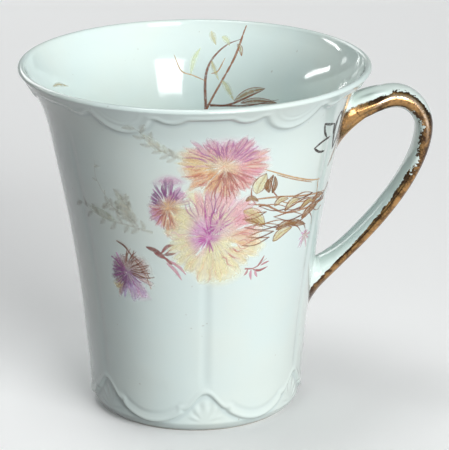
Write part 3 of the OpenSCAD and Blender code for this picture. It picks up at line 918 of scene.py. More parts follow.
def ramp(tree, share, stops):
    """Colour ramp from a list of places and colours."""
    node = add(tree, "ShaderNodeValToRGB", {"Fac": share})
    while len(node.color_ramp.elements) < len(stops):
        node.color_ramp.elements.new(0.5)
    for element, (place, color) in zip(node.color_ramp.elements, stops):
        element.position = place
        element.color = (*color, 1.0)
    return node.outputs["Color"]


ENAMEL_PALE = (0.70, 0.66, 0.55, 1.0)


def enamel_material(name, tints, strength=0.95, soft=0.55, pale=0.3, rim=0.2, metal=0.0,
                    blot=False):
    """Fired enamel laid with a brush: thin at the stroke's edges, uneven along its length."""
    material, tree, shader = new_material(name)
    along, across, tint = parts(tree, stored(tree, "brush", "Vector"))
    mottle = noise(tree, 800.0, 4.0)
    color = ramp(tree, tint + (mottle - 0.5) * 0.12, tints)
    body = across.math("ABSOLUTE").ease(soft, 1.0, 1.0, rim)
    if blot:
        body = body * along.hump(0.5, 0.56)
    grain = noise(tree, 1500.0).ease(0.25, 0.55, 0.55, 1.0)
    dress(tree, shader, {
        "Base Color": blend(tree, mottle.ease(0.4, 0.75) * pale, color, ENAMEL_PALE),
        "Roughness": mottle.ease(0.3, 0.7, 0.16, 0.3), "Metallic": metal,
        "Alpha": body * grain * strength})
    return material


# Strokes are given as knots in degrees from the drawing's middle and mm up the wall, then a width
# in mm, a shape and a tint from 0 to 1
GILT_LINES = [
    [((55.8, 68.6), (60, 67.8), (65.1, 67.2)), 0.62, "line", 0.1],
    [((55.8, 68.6), (58.0, 66.4), (61.2, 64.7)), 0.62, "line", 0.1],
    [((52.8, 63.3), (59.0, 64.2), (65.0, 64.3)), 0.6, "line", 0.4],
    [((52.8, 63.3), (57.0, 62.0), (61.6, 61.5)), 0.56, "line", 0.2],
    [((65.1, 67.2), (66.4, 66.2), (67.4, 64.6)), 0.6, "line", 0.0],
    [((67.2, 69.6), (72.0, 68.4), (74.6, 65.6), (74.0, 62.6), (71.0, 60.6)), 1.2, "line", 0.0],
    [((67.2, 69.6), (68.0, 66.0), (71.0, 60.6)), 1.1, "line", 0.0],
]
# Gold brushed on from the root down the wall
GILT_SMEAR = [
    [((83.5, 65.0), (78.6, 61.6), (74.0, 58.8), (69.5, 56.8)), 2.6, "taper", 0.35],
    [((83.0, 67.0), (79.6, 64.2), (77.0, 60.8)), 1.9, "leaf", 0.75],
    [((80.6, 66.8), (77.6, 64.6), (75.6, 62.0)), 0.9, "leaf", 0.1],
]
dark_gold = enamel_material(
    "dark_gold_line",
    [(0.0, (0.018, 0.009, 0.008)), (0.5, (0.05, 0.02, 0.016)), (1.0, (0.30, 0.13, 0.07))],
    strength=1.0, pale=0.03, rim=0.5, metal=0.3)
brushed_gold = enamel_material(
    "brushed_gold",
    [(0.0, (0.14, 0.055, 0.03)), (0.5, (0.33, 0.15, 0.06)), (1.0, (0.52, 0.27, 0.11))],
    soft=0.1, pale=0.15, metal=0.6)


def mirrored(strokes):
    """The same strokes on the other side of the handle."""
    return [[tuple((-a, z) for a, z in knots), *rest] for knots, *rest in strokes]


for name, strokes, enamel in (("gilt_leaf", GILT_LINES, dark_gold),
                              ("gilt_smear", GILT_SMEAR, brushed_gold)):
    painted(name + "_front", "root_gilding", strokes, enamel, VIEW_MIDDLE)
    painted(name + "_back", "root_gilding", mirrored(strokes), enamel, -VIEW_MIDDLE)


# Front spray, blooms
# Chrysanthemums in thin enamel over the glaze: narrow petals set round a core, each a wash of
# colour with a finer outline, pink and mauve above and pale yellow below.
PETAL_STEPS = (0.0, 0.25, 0.5, 0.72, 0.88, 0.96, 1.0)
PETAL_SECTION = ((-1.0, 0.0), (-0.4, 0.08), (0.4, 0.08), (1.0, 0.0), (0.4, -1.0), (-0.4, -1.0))
PETAL_LIFT = 0.17
GOLDEN_ANGLE = 2.399963
# How far chance turns a petal, in radians
PETAL_SWAY = 0.6
# Lift of the outermost petals in mm, how much higher the innermost lie, and what chance adds
OUTER_LIFT, INNER_RISE, CHANCE_RISE = 0.03, 0.075, 0.02


def petal_mesh():
    """One petal, a unit long and two wide: a flat lens with its underside sunk in the glaze."""
    points, faces, place = [], [], []
    sides = len(PETAL_SECTION)
    for s in PETAL_STEPS:
        tip = math.sqrt(max(0.05, 1 - max(0.0, (s - 0.66) / 0.34) ** 2))
        half = (0.45 + 0.55 * min(1.0, s / 0.6)) * tip
        for across, lift in PETAL_SECTION:
            points.append((s, across * half, lift))
            place.append((s, across, 0.0))
    for k in range(len(PETAL_STEPS) - 1):
        for i in range(sides):
            a, b = sides * k + i, sides * k + (i + 1) % sides
            faces.append((a + sides, b + sides, b, a))
    faces.append(tuple(range(sides)))
    faces.append(tuple(range(len(points) - sides, len(points)))[::-1])
    return brushed_mesh("petal", points, faces, place)


def bloom_tree():
    """Sets petals round a core by the golden angle, longest outside, and lays them on the wall."""
    tree, take, result = new_tree(
        "Geometry", "laid_bloom",
        {**WALL_INPUTS, "Petals": "Int", "Fullness": "Float", "Core X": "Float", "Core Z": "Float",
         "Right": "Float", "Left": "Float", "Up": "Float", "Down": "Float", "Petal Width": "Float",
         "Opening": "Float", "Seed": "Int"}, GEOMETRY)
    index = made(tree, "GeometryNodeInputIndex")
    luck, sway, stretch = (
        made(tree, "FunctionNodeRandomValue", {"ID": index, "Seed": take("Seed") + shift},
             data_type="FLOAT") for shift in range(3))
    share = (index + 0.5) / take("Petals")
    bearing = index * GOLDEN_ANGLE + (sway - 0.5) * PETAL_SWAY
    cos, sin = bearing.math("COSINE"), bearing.math("SINE")
    wide = cos.ease(-0.12, 0.12, take("Left"), take("Right"))
    tall = sin.ease(-0.12, 0.12, take("Down"), take("Up"))
    squarish = take("Fullness")
    full = ((cos / wide).math("ABSOLUTE") ** squarish
            + (sin / tall).math("ABSOLUTE") ** squarish) ** (-1.0 / squarish)
    start = full * take("Opening") * share ** 0.7
    tip = full * (share ** 0.75).ease(0.0, 1.0, 0.4, 1.0) * (0.86 + stretch * 0.2)
    level = OUTER_LIFT + (1.0 - share) * INNER_RISE + luck * CHANCE_RISE
    broad = take("Petal Width") * (0.75 + luck * 0.5) * (0.6 + share * 0.4)
    points = made(tree, "GeometryNodePoints",
                  {"Count": take("Petals"),
                   "Position": vector(tree, X=cos * start, Y=sin * start, Z=level)})
    turn = made(tree, "FunctionNodeEulerToRotation", {"Euler": vector(tree, Z=bearing)})
    ring = made(tree, "GeometryNodeInstanceOnPoints",
                {"Points": points, "Instance": take("Geometry"), "Rotation": turn,
                 "Scale": vector(tree, X=tip - start, Y=broad, Z=PETAL_LIFT)})
    lucky = made(tree, "GeometryNodeStoreNamedAttribute",
                 {"Geometry": ring, "Name": "luck", "Value": luck},
                 data_type="FLOAT", domain="INSTANCE")
    flower = made(tree, "GeometryNodeRealizeInstances", {"Geometry": lucky})
    x, y, _ = parts(tree, made(tree, "GeometryNodeInputPosition"))
    far_x = x / x.ease(-0.2, 0.2, take("Left"), take("Right"))
    far_y = y / y.ease(-0.2, 0.2, take("Down"), take("Up"))
    polar = vector(tree, X=y.math("ARCTAN2", x) / (2 * math.pi) + 0.5,
                   Y=(far_x * far_x + far_y * far_y).math("SQRT"))
    marked = made(tree, "GeometryNodeStoreNamedAttribute",
                  {"Geometry": flower, "Name": "polar", "Value": polar},
                  data_type="FLOAT_VECTOR", domain="POINT")
    moved = made(tree, "GeometryNodeSetPosition",
                 {"Geometry": marked, "Offset": vector(tree, X=take("Core X"), Y=take("Core Z"))})
    plug(tree, lay_on_wall(tree, take, moved), result.inputs["Geometry"])
    return tree


laid_bloom = bloom_tree()
petal = petal_mesh()
PETAL_PALE = (0.74, 0.72, 0.66, 1.0)


def petal_group():
    """Wash of one petal: streaked along its length, outlined, thinner towards its tip."""
    tree, take, result = new_tree(
        "Shader", "petal_wash",
        {"Wash": "Color", "Outline": "Color", "Line": "Float", "Thin": "Float"},
        {"Color": "Color", "Alpha": "Float"})
    along, across, _ = parts(tree, stored(tree, "brush", "Vector"))
    luck = stored(tree, "luck")
    edge = across.math("ABSOLUTE")
    own = vector(tree, X=along * 1.2, Y=across * 1.5 + luck * 41.0, Z=luck * 23.0)
    streak = noise(tree, 2.2, at=own)
    pale = (edge.ease(0.0, 0.75, 1.0, 0.0) * luck.ease(0.15, 0.95) * 0.55
            + streak.ease(0.45, 0.7) * 0.3 + 0.04)
    wash = blend(tree, pale, take("Wash"), PETAL_PALE)
    drawn = (luck * 7.31).math("FRACT").ease(0.3, 0.75) * take("Line")
    line = edge.hump(0.8, 0.2) * along.ease(0.1, 0.45) * along.ease(0.8, 1.0, 1.0, 0.3) * drawn
    fade = along.ease(0.6, 1.0, 1.0, 0.2) * edge.ease(0.3, 1.0, 1.0, 0.08)
    thin = take("Thin") * streak.ease(0.3, 0.7)
    dress(tree, result, {"Color": blend(tree, line, wash, take("Outline")),
                         "Alpha": (fade * (1.0 - thin)).math("MAXIMUM", line * 0.75)})
    return tree


petal_wash = petal_group()


def bloom_material(name, outer, inner, core, outline, line=0.5, thin=0.35, core_size=0.28):
    """Enamel of one bloom: colours round it near the tips and near the core, from the left (0) by
    below (0.25), right (0.5) and above (0.75) to the left (1), and the core's own colour."""
    material, tree, shader = new_material(name)
    bearing, far, _ = parts(tree, stored(tree, "polar", "Vector"))
    drift = (noise(tree, 260.0) - 0.5) * 0.22
    round_it = (bearing + drift * 0.6).math("FRACT")
    far = far + drift
    wash = blend(tree, far.ease(0.25, 0.62), ramp(tree, round_it, inner),
                 ramp(tree, round_it, outer))
    at_core = far.ease(core_size * 0.4, core_size * 1.5, 1.0, 0.0)
    petals = add(tree, "ShaderNodeGroup",
                 {"Wash": blend(tree, at_core, wash, (*core, 1.0)), "Outline": (*outline, 1.0),
                  "Line": line, "Thin": thin}, node_tree=petal_wash)
    dress(tree, shader, {
        "Base Color": petals.outputs["Color"], "Alpha": petals.outputs["Alpha"],
        "Roughness": noise(tree, 700.0).ease(0.3, 0.7, 0.14, 0.28)})
    return material


def set_bloom(name, node, enamel, middle, core, reach, petals, fullness, width, opening, seed,
              lift=0.0):
    """One bloom on the wall, with its core in degrees and mm, and its reach in mm to the right,
    left, above and below."""
    right, left, up, down = reach
    laid_piece(name, node, petal.copy(), laid_bloom,
               {"Middle": middle, "Side": 1.0, "Lift": lift, "Enamel": enamel, "Petals": petals,
                "Fullness": fullness, "Core X": core[0] * ARC, "Core Z": core[1], "Right": right,
                "Left": left, "Up": up, "Down": down, "Petal Width": width, "Opening": opening,
                "Seed": seed})


MAUVE = (0.60, 0.29, 0.44)
PINK = (0.72, 0.38, 0.47)
ORANGE = (0.68, 0.33, 0.14)
YELLOW = (0.74, 0.57, 0.29)
PALE_YELLOW = (0.75, 0.71, 0.45)
PEACH = (0.70, 0.41, 0.28)
LAVENDER = (0.60, 0.29, 0.54)
MAGENTA = (0.46, 0.06, 0.34)
PURPLE = (0.20, 0.075, 0.21)
RUSSET = (0.36, 0.13, 0.10)
WINE = (0.32, 0.08, 0.14)
STRAW = (0.73, 0.57, 0.38)
UPPER_CORE, LARGE_CORE = (11.6, 63.2), (7.0, 47.0)
SIDE_CORE, SMALL_CORE = (-10.4, 53.6), (-31.5, 37.2)

# Soft grounds of colour that are brushed on first, under the petals
WASH_TINTS = [(0.0, (0.33, 0.15, 0.33)), (0.1, (0.55, 0.31, 0.45)), (0.2, (0.55, 0.16, 0.41)),
              (0.3, (0.68, 0.39, 0.58)), (0.4, (0.70, 0.45, 0.54)), (0.5, (0.70, 0.44, 0.37)),
              (0.6, (0.72, 0.48, 0.26)), (0.7, (0.73, 0.57, 0.31)), (0.8, (0.75, 0.64, 0.39)),
              (0.9, (0.62, 0.66, 0.60)), (1.0, (0.60, 0.50, 0.48))]
GROUND_WASHES = [
    [((-0.5, 68.0), (15.0, 67.0), (31.5, 64.6)), 6.6, "leaf", 0.4],
    [((-8.0, 66.2), (3.0, 65.2), (13.5, 64.2)), 6.0, "leaf", 0.72],
    [((-7.0, 62.8), (1.0, 61.8), (9.5, 61.4)), 5.0, "leaf", 0.58],
    [((6.0, 62.4), (18.0, 62.0), (30.5, 60.8)), 6.0, "leaf", 0.5],
    [((2.0, 59.4), (12.0, 58.6), (23.0, 58.0)), 5.2, "leaf", 0.5],
    [((-7.0, 56.4), (-6.4, 49.5), (-1.8, 42.6)), 6.4, "leaf", 0.8],
    [((-5.0, 42.4), (9.5, 38.8), (26.5, 37.6)), 9.4, "leaf", 0.8],
    [((17.0, 44.6), (26.0, 43.8), (34.0, 43.2)), 7.0, "leaf", 0.8],
    [((-1.2, 52.0), (4.0, 48.0), (9.6, 44.0)), 6.0, "leaf", 0.3],
    [((1.6, 56.8), (12.0, 55.0), (24.0, 52.4)), 7.0, "leaf", 0.4],
    [((4.0, 46.2), (7.0, 50.0), (10.2, 54.0)), 2.6, "leaf", 0.22],
    [((-4.0, 57.8), (1.0, 55.6), (6.0, 53.0)), 4.6, "leaf", 0.8],
    [((-17.4, 58.8), (-9.0, 59.8), (-1.8, 59.4)), 3.6, "leaf", 0.1],
    [((-15.6, 52.0), (-9.6, 54.4), (-4.0, 56.0)), 4.6, "leaf", 0.62],
    [((-17.6, 55.0), (-15.4, 51.4), (-12.2, 48.2)), 3.4, "leaf", 0.15],
    [((-41.0, 37.6), (-36.0, 36.8), (-31.0, 36.0)), 4.4, "leaf", 0.0],
    [((-36.5, 35.8), (-28.0, 33.4), (-19.6, 31.4)), 6.0, "leaf", 0.3],
    [((-30.0, 41.4), (-24.0, 39.6), (-18.0, 37.2)), 4.8, "leaf", 1.0],
    [((-42.0, 34.0), (-37.5, 33.4), (-33.0, 33.0)), 2.6, "leaf", 0.7],
    [((-35.0, 38.8), (-31.0, 37.2), (-27.0, 35.4)), 3.4, "leaf", 0.04],
    [((7.6, 62.4), (12.0, 63.0), (17.0, 62.6)), 3.4, "leaf", 0.58],
    [((2.6, 47.4), (6.4, 46.8), (10.0, 45.6)), 3.0, "leaf", 0.22],
    [((-14.0, 54.4), (-10.2, 53.6), (-6.6, 52.4)), 2.8, "leaf", 0.58],
    [((18.0, 65.2), (25.0, 64.4), (32.0, 63.0)), 4.0, "leaf", 0.42],
    [((-25.0, 49.0), (-30.0, 52.4), (-33.0, 56.0)), 4.0, "leaf", 0.89],
    [((-32.0, 48.6), (-42.0, 49.8), (-54.0, 51.0)), 3.0, "leaf", 0.89],
    [((-8.0, 65.6), (-14.0, 68.0), (-20.0, 71.8)), 3.0, "leaf", 0.89],
]
wash_enamel = enamel_material("ground_wash_enamel", WASH_TINTS, soft=0.0, pale=0.1, rim=0.0,
                              blot=True)
painted("ground_washes", "front_spray", GROUND_WASHES, wash_enamel, VIEW_MIDDLE,
        section=WASH_SECTION)
upper_enamel = bloom_material(
    "upper_bloom_enamel",
    [(0.0, YELLOW), (0.06, ORANGE), (0.17, (0.72, 0.45, 0.22)), (0.27, PEACH), (0.42, PINK),
     (0.5, PEACH), (0.6, PINK), (0.7, MAUVE), (0.84, MAUVE), (0.9, PINK), (0.96, YELLOW)],
    [(0.0, YELLOW), (0.16, ORANGE), (0.26, WINE), (0.36, (0.62, 0.26, 0.22)), (0.5, PINK),
     (0.6, MAUVE), (0.72, PINK), (0.82, YELLOW), (1.0, PALE_YELLOW)],
    STRAW, WINE, line=0.8, thin=0.4)
set_bloom("upper_bloom", "front_spray", upper_enamel, VIEW_MIDDLE, UPPER_CORE,
          (9.4, 8.9, 6.9, 7.6), petals=160, fullness=2.7, width=0.58, opening=0.5, seed=11,
          lift=0.06)
# A few broad petals with drawn edges over the fine ones
broad_enamel = bloom_material(
    "broad_petal_enamel",
    [(0.0, YELLOW), (0.08, ORANGE), (0.2, (0.72, 0.50, 0.26)), (0.3, PEACH), (0.45, PINK),
     (0.6, MAUVE), (0.8, PINK), (0.93, YELLOW)],
    [(0.0, YELLOW), (0.18, ORANGE), (0.28, RUSSET), (0.4, PEACH), (0.55, PINK), (0.75, MAUVE),
     (1.0, YELLOW)],
    STRAW, RUSSET, line=1.0, thin=0.75)
set_bloom("upper_bloom_skirt", "front_spray", broad_enamel, VIEW_MIDDLE, (11.6, 63.0),
          (8.9, 8.6, 5.6, 7.8), petals=40, fullness=1.6, width=1.25, opening=0.62, seed=17,
          lift=0.12)
large_enamel = bloom_material(
    "large_bloom_enamel",
    [(0.0, PALE_YELLOW), (0.36, PALE_YELLOW), (0.44, YELLOW), (0.5, PEACH), (0.58, PINK),
     (0.66, (0.73, 0.51, 0.50)), (0.76, (0.73, 0.45, 0.50)), (0.86, PALE_YELLOW),
     (1.0, PALE_YELLOW)],
    [(0.0, LAVENDER), (0.12, LAVENDER), (0.22, PALE_YELLOW), (0.42, PALE_YELLOW),
     (0.52, (0.73, 0.58, 0.50)), (0.64, (0.71, 0.60, 0.49)), (0.72, (0.74, 0.47, 0.54)),
     (0.84, LAVENDER), (1.0, LAVENDER)],
    (0.52, 0.16, 0.41), (0.54, 0.18, 0.23), line=0.6, thin=0.45, core_size=0.18)
set_bloom("large_bloom", "front_spray", large_enamel, VIEW_MIDDLE, LARGE_CORE,
          (11.6, 9.6, 12.0, 11.6), petals=180, fullness=2.3, width=0.82, opening=0.55, seed=23,
          lift=0.06)
set_bloom("large_bloom_skirt", "front_spray", large_enamel, VIEW_MIDDLE, LARGE_CORE,
          (11.2, 9.4, 11.0, 11.4), petals=44, fullness=1.6, width=1.7, opening=0.62, seed=29,
          lift=0.12)
HEART_MAUVE = (0.55, 0.25, 0.45)
heart_enamel = bloom_material(
    "bloom_heart_enamel",
    [(0.0, LAVENDER), (0.2, (0.70, 0.58, 0.57)), (0.5, (0.71, 0.61, 0.54)), (0.75, PALE_YELLOW),
     (1.0, LAVENDER)],
    [(0.0, HEART_MAUVE), (0.3, (0.67, 0.44, 0.50)), (0.6, (0.66, 0.42, 0.46)), (1.0, HEART_MAUVE)],
    (0.52, 0.25, 0.39), (0.40, 0.13, 0.27), line=1.0, thin=0.35, core_size=0.16)
set_bloom("large_bloom_heart", "front_spray", heart_enamel, VIEW_MIDDLE, (10.4, 49.4),
          (4.2, 3.8, 3.8, 3.4), petals=46, fullness=2.0, width=0.4, opening=0.35, seed=41,
          lift=0.15)
side_enamel = bloom_material(
    "side_bloom_enamel",
    [(0.0, MAUVE), (0.14, PINK), (0.22, ORANGE), (0.3, PEACH), (0.38, PALE_YELLOW),
     (0.52, PALE_YELLOW), (0.64, LAVENDER), (0.76, PURPLE), (0.92, PURPLE), (1.0, MAUVE)],
    [(0.0, RUSSET), (0.25, ORANGE), (0.5, YELLOW), (0.75, MAUVE), (1.0, RUSSET)],
    (0.52, 0.26, 0.14), PURPLE, line=0.9, thin=0.4)
set_bloom("side_bloom", "front_spray", side_enamel, VIEW_MIDDLE, SIDE_CORE,
          (5.2, 4.2, 6.9, 6.9), petals=96, fullness=2.3, width=0.46, opening=0.45, seed=5,
          lift=0.06)
small_enamel = bloom_material(
    "small_bloom_enamel",
    [(0.0, PURPLE), (0.08, PURPLE), (0.14, (0.52, 0.34, 0.14)), (0.2, (0.54, 0.40, 0.70)),
     (0.34, (0.62, 0.48, 0.73)), (0.44, (0.65, 0.53, 0.52)), (0.6, (0.58, 0.47, 0.44)),
     (0.84, (0.41, 0.26, 0.27)), (1.0, PURPLE)],
    [(0.0, PURPLE), (0.14, PURPLE), (0.26, (0.40, 0.23, 0.56)), (0.4, (0.52, 0.38, 0.62)),
     (0.55, (0.60, 0.48, 0.45)), (0.8, (0.40, 0.25, 0.24)), (1.0, PURPLE)],
    (0.28, 0.12, 0.26), PURPLE, line=0.8, thin=0.35)
set_bloom("small_bloom", "front_spray", small_enamel, VIEW_MIDDLE, SMALL_CORE,
          (6.6, 5.0, 4.2, 7.6), petals=110, fullness=2.3, width=0.56, opening=0.4, seed=8,
          lift=0.06)


def within(tint):
    """A tint kept between 0 and 1."""
    return min(1.0, max(0.0, tint))


def rays(core, span, count, start, reach, width, tint, seed):
    """Fine strokes that fan out from a bloom's core between two bearings, as far as an oval."""
    draw = np.random.default_rng(seed)
    drawn = []
    for i in range(count):
        share = (i + draw.uniform(0.1, 0.9)) / count
        turn = math.radians(span[0] + (span[1] - span[0]) * share)
        bow = turn + draw.uniform(-0.12, 0.12)
        oval = math.hypot(math.cos(turn) / reach[0], math.sin(turn) / reach[1])
        far = draw.uniform(0.62, 1.0) / oval
        near = min(start * draw.uniform(0.7, 1.5), far * 0.7)
        knots = tuple((core[0] + r * math.cos(t) / ARC, core[1] + r * math.sin(t))
                      for r, t in ((near, turn), ((near + far) / 2, bow), (far, turn)))
        drawn.append([knots, width * draw.uniform(0.7, 1.2), "leaf",
                      within(tint + draw.uniform(-0.06, 0.06))])
    return drawn


LINE_TINTS = [(0.0, PURPLE), (0.25, MAGENTA), (0.5, (0.36, 0.15, 0.32)),
              (0.75, (0.54, 0.20, 0.22)), (1.0, (0.34, 0.11, 0.07))]
# The lines spread from a little beside the cores of the two large blooms
UPPER_HUB, LARGE_HUB = (12.4, 62.8), (6.2, 46.6)
BLOOM_LINES = (
    rays(UPPER_HUB, (15, 165), 26, 2.8, (8.8, 6.9), 0.26, 0.5, 51)
    + rays(UPPER_HUB, (235, 312), 10, 1.0, (6.0, 4.6), 0.34, 0.95, 52)
    + rays(UPPER_HUB, (180, 240), 8, 3.4, (8.8, 7.0), 0.26, 0.85, 53)
    + rays(UPPER_HUB, (244, 335), 20, 2.6, (8.6, 8.6), 0.26, 0.86, 54)
    + rays(UPPER_HUB, (310, 372), 8, 3.4, (9.2, 7.0), 0.24, 0.72, 55)
    + rays(LARGE_HUB, (70, 300), 13, 0.5, (3.0, 3.6), 0.42, 0.25, 56)
    + rays(LARGE_HUB, (50, 125), 14, 4.0, (9.0, 11.6), 0.2, 0.55, 57)
    + rays(LARGE_HUB, (30, 100), 8, 1.6, (6.0, 8.0), 0.44, 0.27, 62)
    + rays(LARGE_HUB, (-60, 42), 16, 6.0, (11.4, 10.6), 0.2, 0.78, 58)
    + rays(SIDE_CORE, (40, 165), 14, 2.4, (4.2, 6.8), 0.34, 0.06, 59)
    + rays(SIDE_CORE, (170, 290), 14, 1.4, (4.0, 6.6), 0.26, 0.9, 60)
    + rays(SMALL_CORE, (120, 250), 16, 0.8, (5.0, 6.0), 0.36, 0.05, 61)
    + rays(SMALL_CORE, (250, 330), 6, 1.6, (4.4, 4.6), 0.2, 0.05, 63))
line_enamel = enamel_material("bloom_line_enamel", LINE_TINTS, soft=0.2, pale=0.1)
painted("bloom_lines", "front_spray", BLOOM_LINES, line_enamel, VIEW_MIDDLE,
        lift=0.18)


# Front spray, stems and leaves
# Brown and olive enamel drawn with a fine brush: stems that run from the blooms round to the
# handle, leaves and buds on them, and two faint grey sprays on the left.
TWIG_STEPS = 40
LEAF_LEAN = 0.85
EDGE_STEPS = 9


def twig(knots, width, tint, leaves, leaf, seed):
    """A stem with small leaves, given by length and width, set along it on alternate sides."""
    drawn = [[knots, width, "taper", tint]]
    draw = np.random.default_rng(seed)
    line, _ = smooth_line(knots, TWIG_STEPS)
    for i in range(leaves):
        k = int(4 + (TWIG_STEPS - 5) * (i + 0.5) / leaves)
        x, z = line[k]
        run = line[min(TWIG_STEPS - 1, k + 1)] - line[k - 1]
        lean = LEAF_LEAN if i % 2 else -LEAF_LEAN
        lean = math.atan2(run[1], run[0]) + lean + draw.uniform(-0.25, 0.25)
        long = leaf[0] * draw.uniform(0.7, 1.15)
        tip = (x + long * math.cos(lean), z + long * math.sin(lean))
        bow = tuple((a + b) / 2 + draw.uniform(-0.2, 0.2) for a, b in zip((x, z), tip))
        drawn.append([tuple((px / ARC, pz) for px, pz in ((x, z), bow, tip)), leaf[1], "leaf",
                      within(tint + draw.uniform(-0.2, 0.2))])
    return drawn


def leaf_edges(leaves, width, tint):
    """Two fine outlines and a midrib for each leaf."""
    drawn = []
    for knots, broad, *_ in leaves:
        line, run = smooth_line(knots, EDGE_STEPS)
        for side in (-1.0, 0.0, 1.0):
            edge = []
            for k in range(EDGE_STEPS):
                half = side * broad / 2 * swell("leaf", k / (EDGE_STEPS - 1))
                edge.append(((line[k][0] - run[k][1] * half) / ARC, line[k][1] + run[k][0] * half))
            drawn.append([tuple(edge), width, "line", tint])
    return drawn


STEM_TINTS = [(0.0, (0.16, 0.055, 0.035)), (0.3, (0.28, 0.10, 0.05)), (0.6, (0.42, 0.22, 0.09)),
              (1.0, (0.60, 0.38, 0.19))]
LEAF_TINTS = [(0.0, (0.28, 0.15, 0.06)), (0.4, (0.40, 0.30, 0.10)), (0.7, (0.58, 0.49, 0.20)),
              (1.0, (0.64, 0.60, 0.36))]
RED_TINTS = [(0.0, (0.20, 0.04, 0.035)), (0.5, (0.38, 0.09, 0.10)), (1.0, (0.64, 0.34, 0.42))]
GREY_TINTS = [(0.0, (0.28, 0.24, 0.17)), (0.5, (0.38, 0.32, 0.24)), (1.0, (0.48, 0.42, 0.34))]
stem_enamel = enamel_material("stem_enamel", STEM_TINTS, pale=0.15)
leaf_enamel = enamel_material("leaf_enamel", LEAF_TINTS, 0.8, soft=0.3)
red_enamel = enamel_material("red_sprig_enamel", RED_TINTS, pale=0.15)
grey_enamel = enamel_material("grey_spray_enamel", GREY_TINTS, 0.37, soft=0.0, rim=0.0, pale=0.1)

FRONT_STEMS = [
    [((27, 61.6), (41.7, 58.3), (54, 56.0), (63.1, 54.9)), 0.46, "line", 0.85],
    [((34, 59.6), (43, 57.6), (56, 55.2)), 0.3, "line", 0.6],
    [((61, 55.6), (62, 53.6), (62.9, 51.4)), 0.34, "line", 0.6],
    [((22, 54.8), (35.9, 54.3), (53.0, 52.6), (74, 50.7)), 0.46, "line", 0.55],
    [((20, 53.9), (30.3, 52.9), (40.4, 50.2), (54.9, 49.4), (74, 48.8)), 0.5, "line", 0.45],
    [((35, 54.1), (42, 52.2), (54, 51.2), (70, 50.0)), 0.34, "line", 0.6],
    [((74, 49.4), (62.3, 48.9), (53.4, 47.0), (42.8, 46.8)), 0.9, "taper", 0.1],
    [((78, 51.8), (70, 49.9), (60, 48.4)), 0.9, "taper", 0.05],
    [((50.0, 47.2), (56, 45.4), (59.0, 42.9)), 0.6, "taper", 0.15],
    [((46.0, 46.9), (51, 45.6), (54.5, 43.8)), 0.5, "taper", 0.2],
    [((58, 48.4), (62, 46.4), (63.5, 44.4)), 0.5, "taper", 0.15],
    [((68, 50.0), (60, 50.6), (50, 50.2), (41, 50.0)), 0.4, "line", 0.25],
    [((36, 54.2), (33, 56.0), (31.5, 58.4)), 0.34, "line", 0.3],
    [((26, 53.2), (23.6, 55.2), (23.2, 57.4)), 0.34, "line", 0.3],
    [((60, 48.8), (67, 47.2), (72, 47.6)), 0.34, "taper", 0.2],
]
FRONT_LEAVES = [
    [((20.4, 52.4), (25.5, 51.0), (31.0, 48.4)), 2.8, "leaf", 0.72],
    [((21.4, 50.2), (25.5, 49.6), (30.0, 48.0)), 1.2, "leaf", 0.3],
    [((36.1, 44.0), (40, 45.6), (46.4, 46.2)), 1.9, "leaf", 0.85],
    [((37.1, 46.6), (42, 47.5), (50.0, 46.8)), 1.3, "leaf", 0.15],
    [((25.4, 56.0), (26.6, 58.2), (29.0, 60.4)), 2.8, "leaf", 1.0],
    [((31.0, 55.8), (30.4, 57.6), (32.2, 59.8)), 1.1, "leaf", 0.0],
    [((32.6, 55.6), (33.6, 57.4), (33.0, 59.4)), 0.9, "leaf", 0.0],
    [((29.8, 56.4), (29.4, 57.6), (30.2, 59.0)), 0.7, "leaf", 0.1],
    [((52.6, 47.4), (58, 48.8), (67.4, 49.4)), 1.8, "leaf", 0.0],
    [((59.4, 50.0), (63.4, 51.0), (70.0, 50.8)), 1.1, "leaf", 0.05],
    [((42.0, 47.4), (48.0, 47.0), (56.4, 45.6)), 1.5, "leaf", 0.0],
    [((40.6, 50.6), (44.2, 52.4), (49.0, 52.4)), 1.4, "leaf", 0.95],
    [((34.6, 52.4), (37.4, 53.6), (41.4, 53.4)), 1.3, "leaf", 1.0],
    [((50, 49.8), (55, 51.0), (61.4, 50.4)), 1.1, "leaf", 0.8],
    [((21.0, 54.6), (23.6, 55.2), (26.6, 54.2)), 1.0, "leaf", 0.15],
]
# Leaves that are left white between the stems and the large bloom: tail, tip and half width of
# each, and their fine red-brown outlines
WHITE_LEAVES = (((61, 51.2), (41, 50.8), 1.0), ((53, 48.2), (35, 49.8), 0.9),
                ((46, 47.4), (29, 48.6), 0.8), ((39, 47.6), (21.5, 48.4), 0.7),
                ((36, 46.4), (22.5, 46.2), 0.7), ((34, 45.2), (21.0, 44.2), 0.7),
                ((43, 51.0), (27, 53.0), 0.7), ((58, 52.6), (44, 53.4), 0.6),
                ((31, 51.4), (20.0, 50.4), 0.6))
LEAF_OUTLINES = []
for tail, tip, half in WHITE_LEAVES:
    for lean in (-1, 1):
        bow = ((tail[0] + tip[0]) / 2 + lean * 0.4, (tail[1] + tip[1]) / 2 + lean * half)
        LEAF_OUTLINES.append([(tail, bow, tip), 0.22, "line", 0.25 + 0.15 * lean])
LEAF_OUTLINES += leaf_edges(FRONT_LEAVES, 0.13, 0.4)
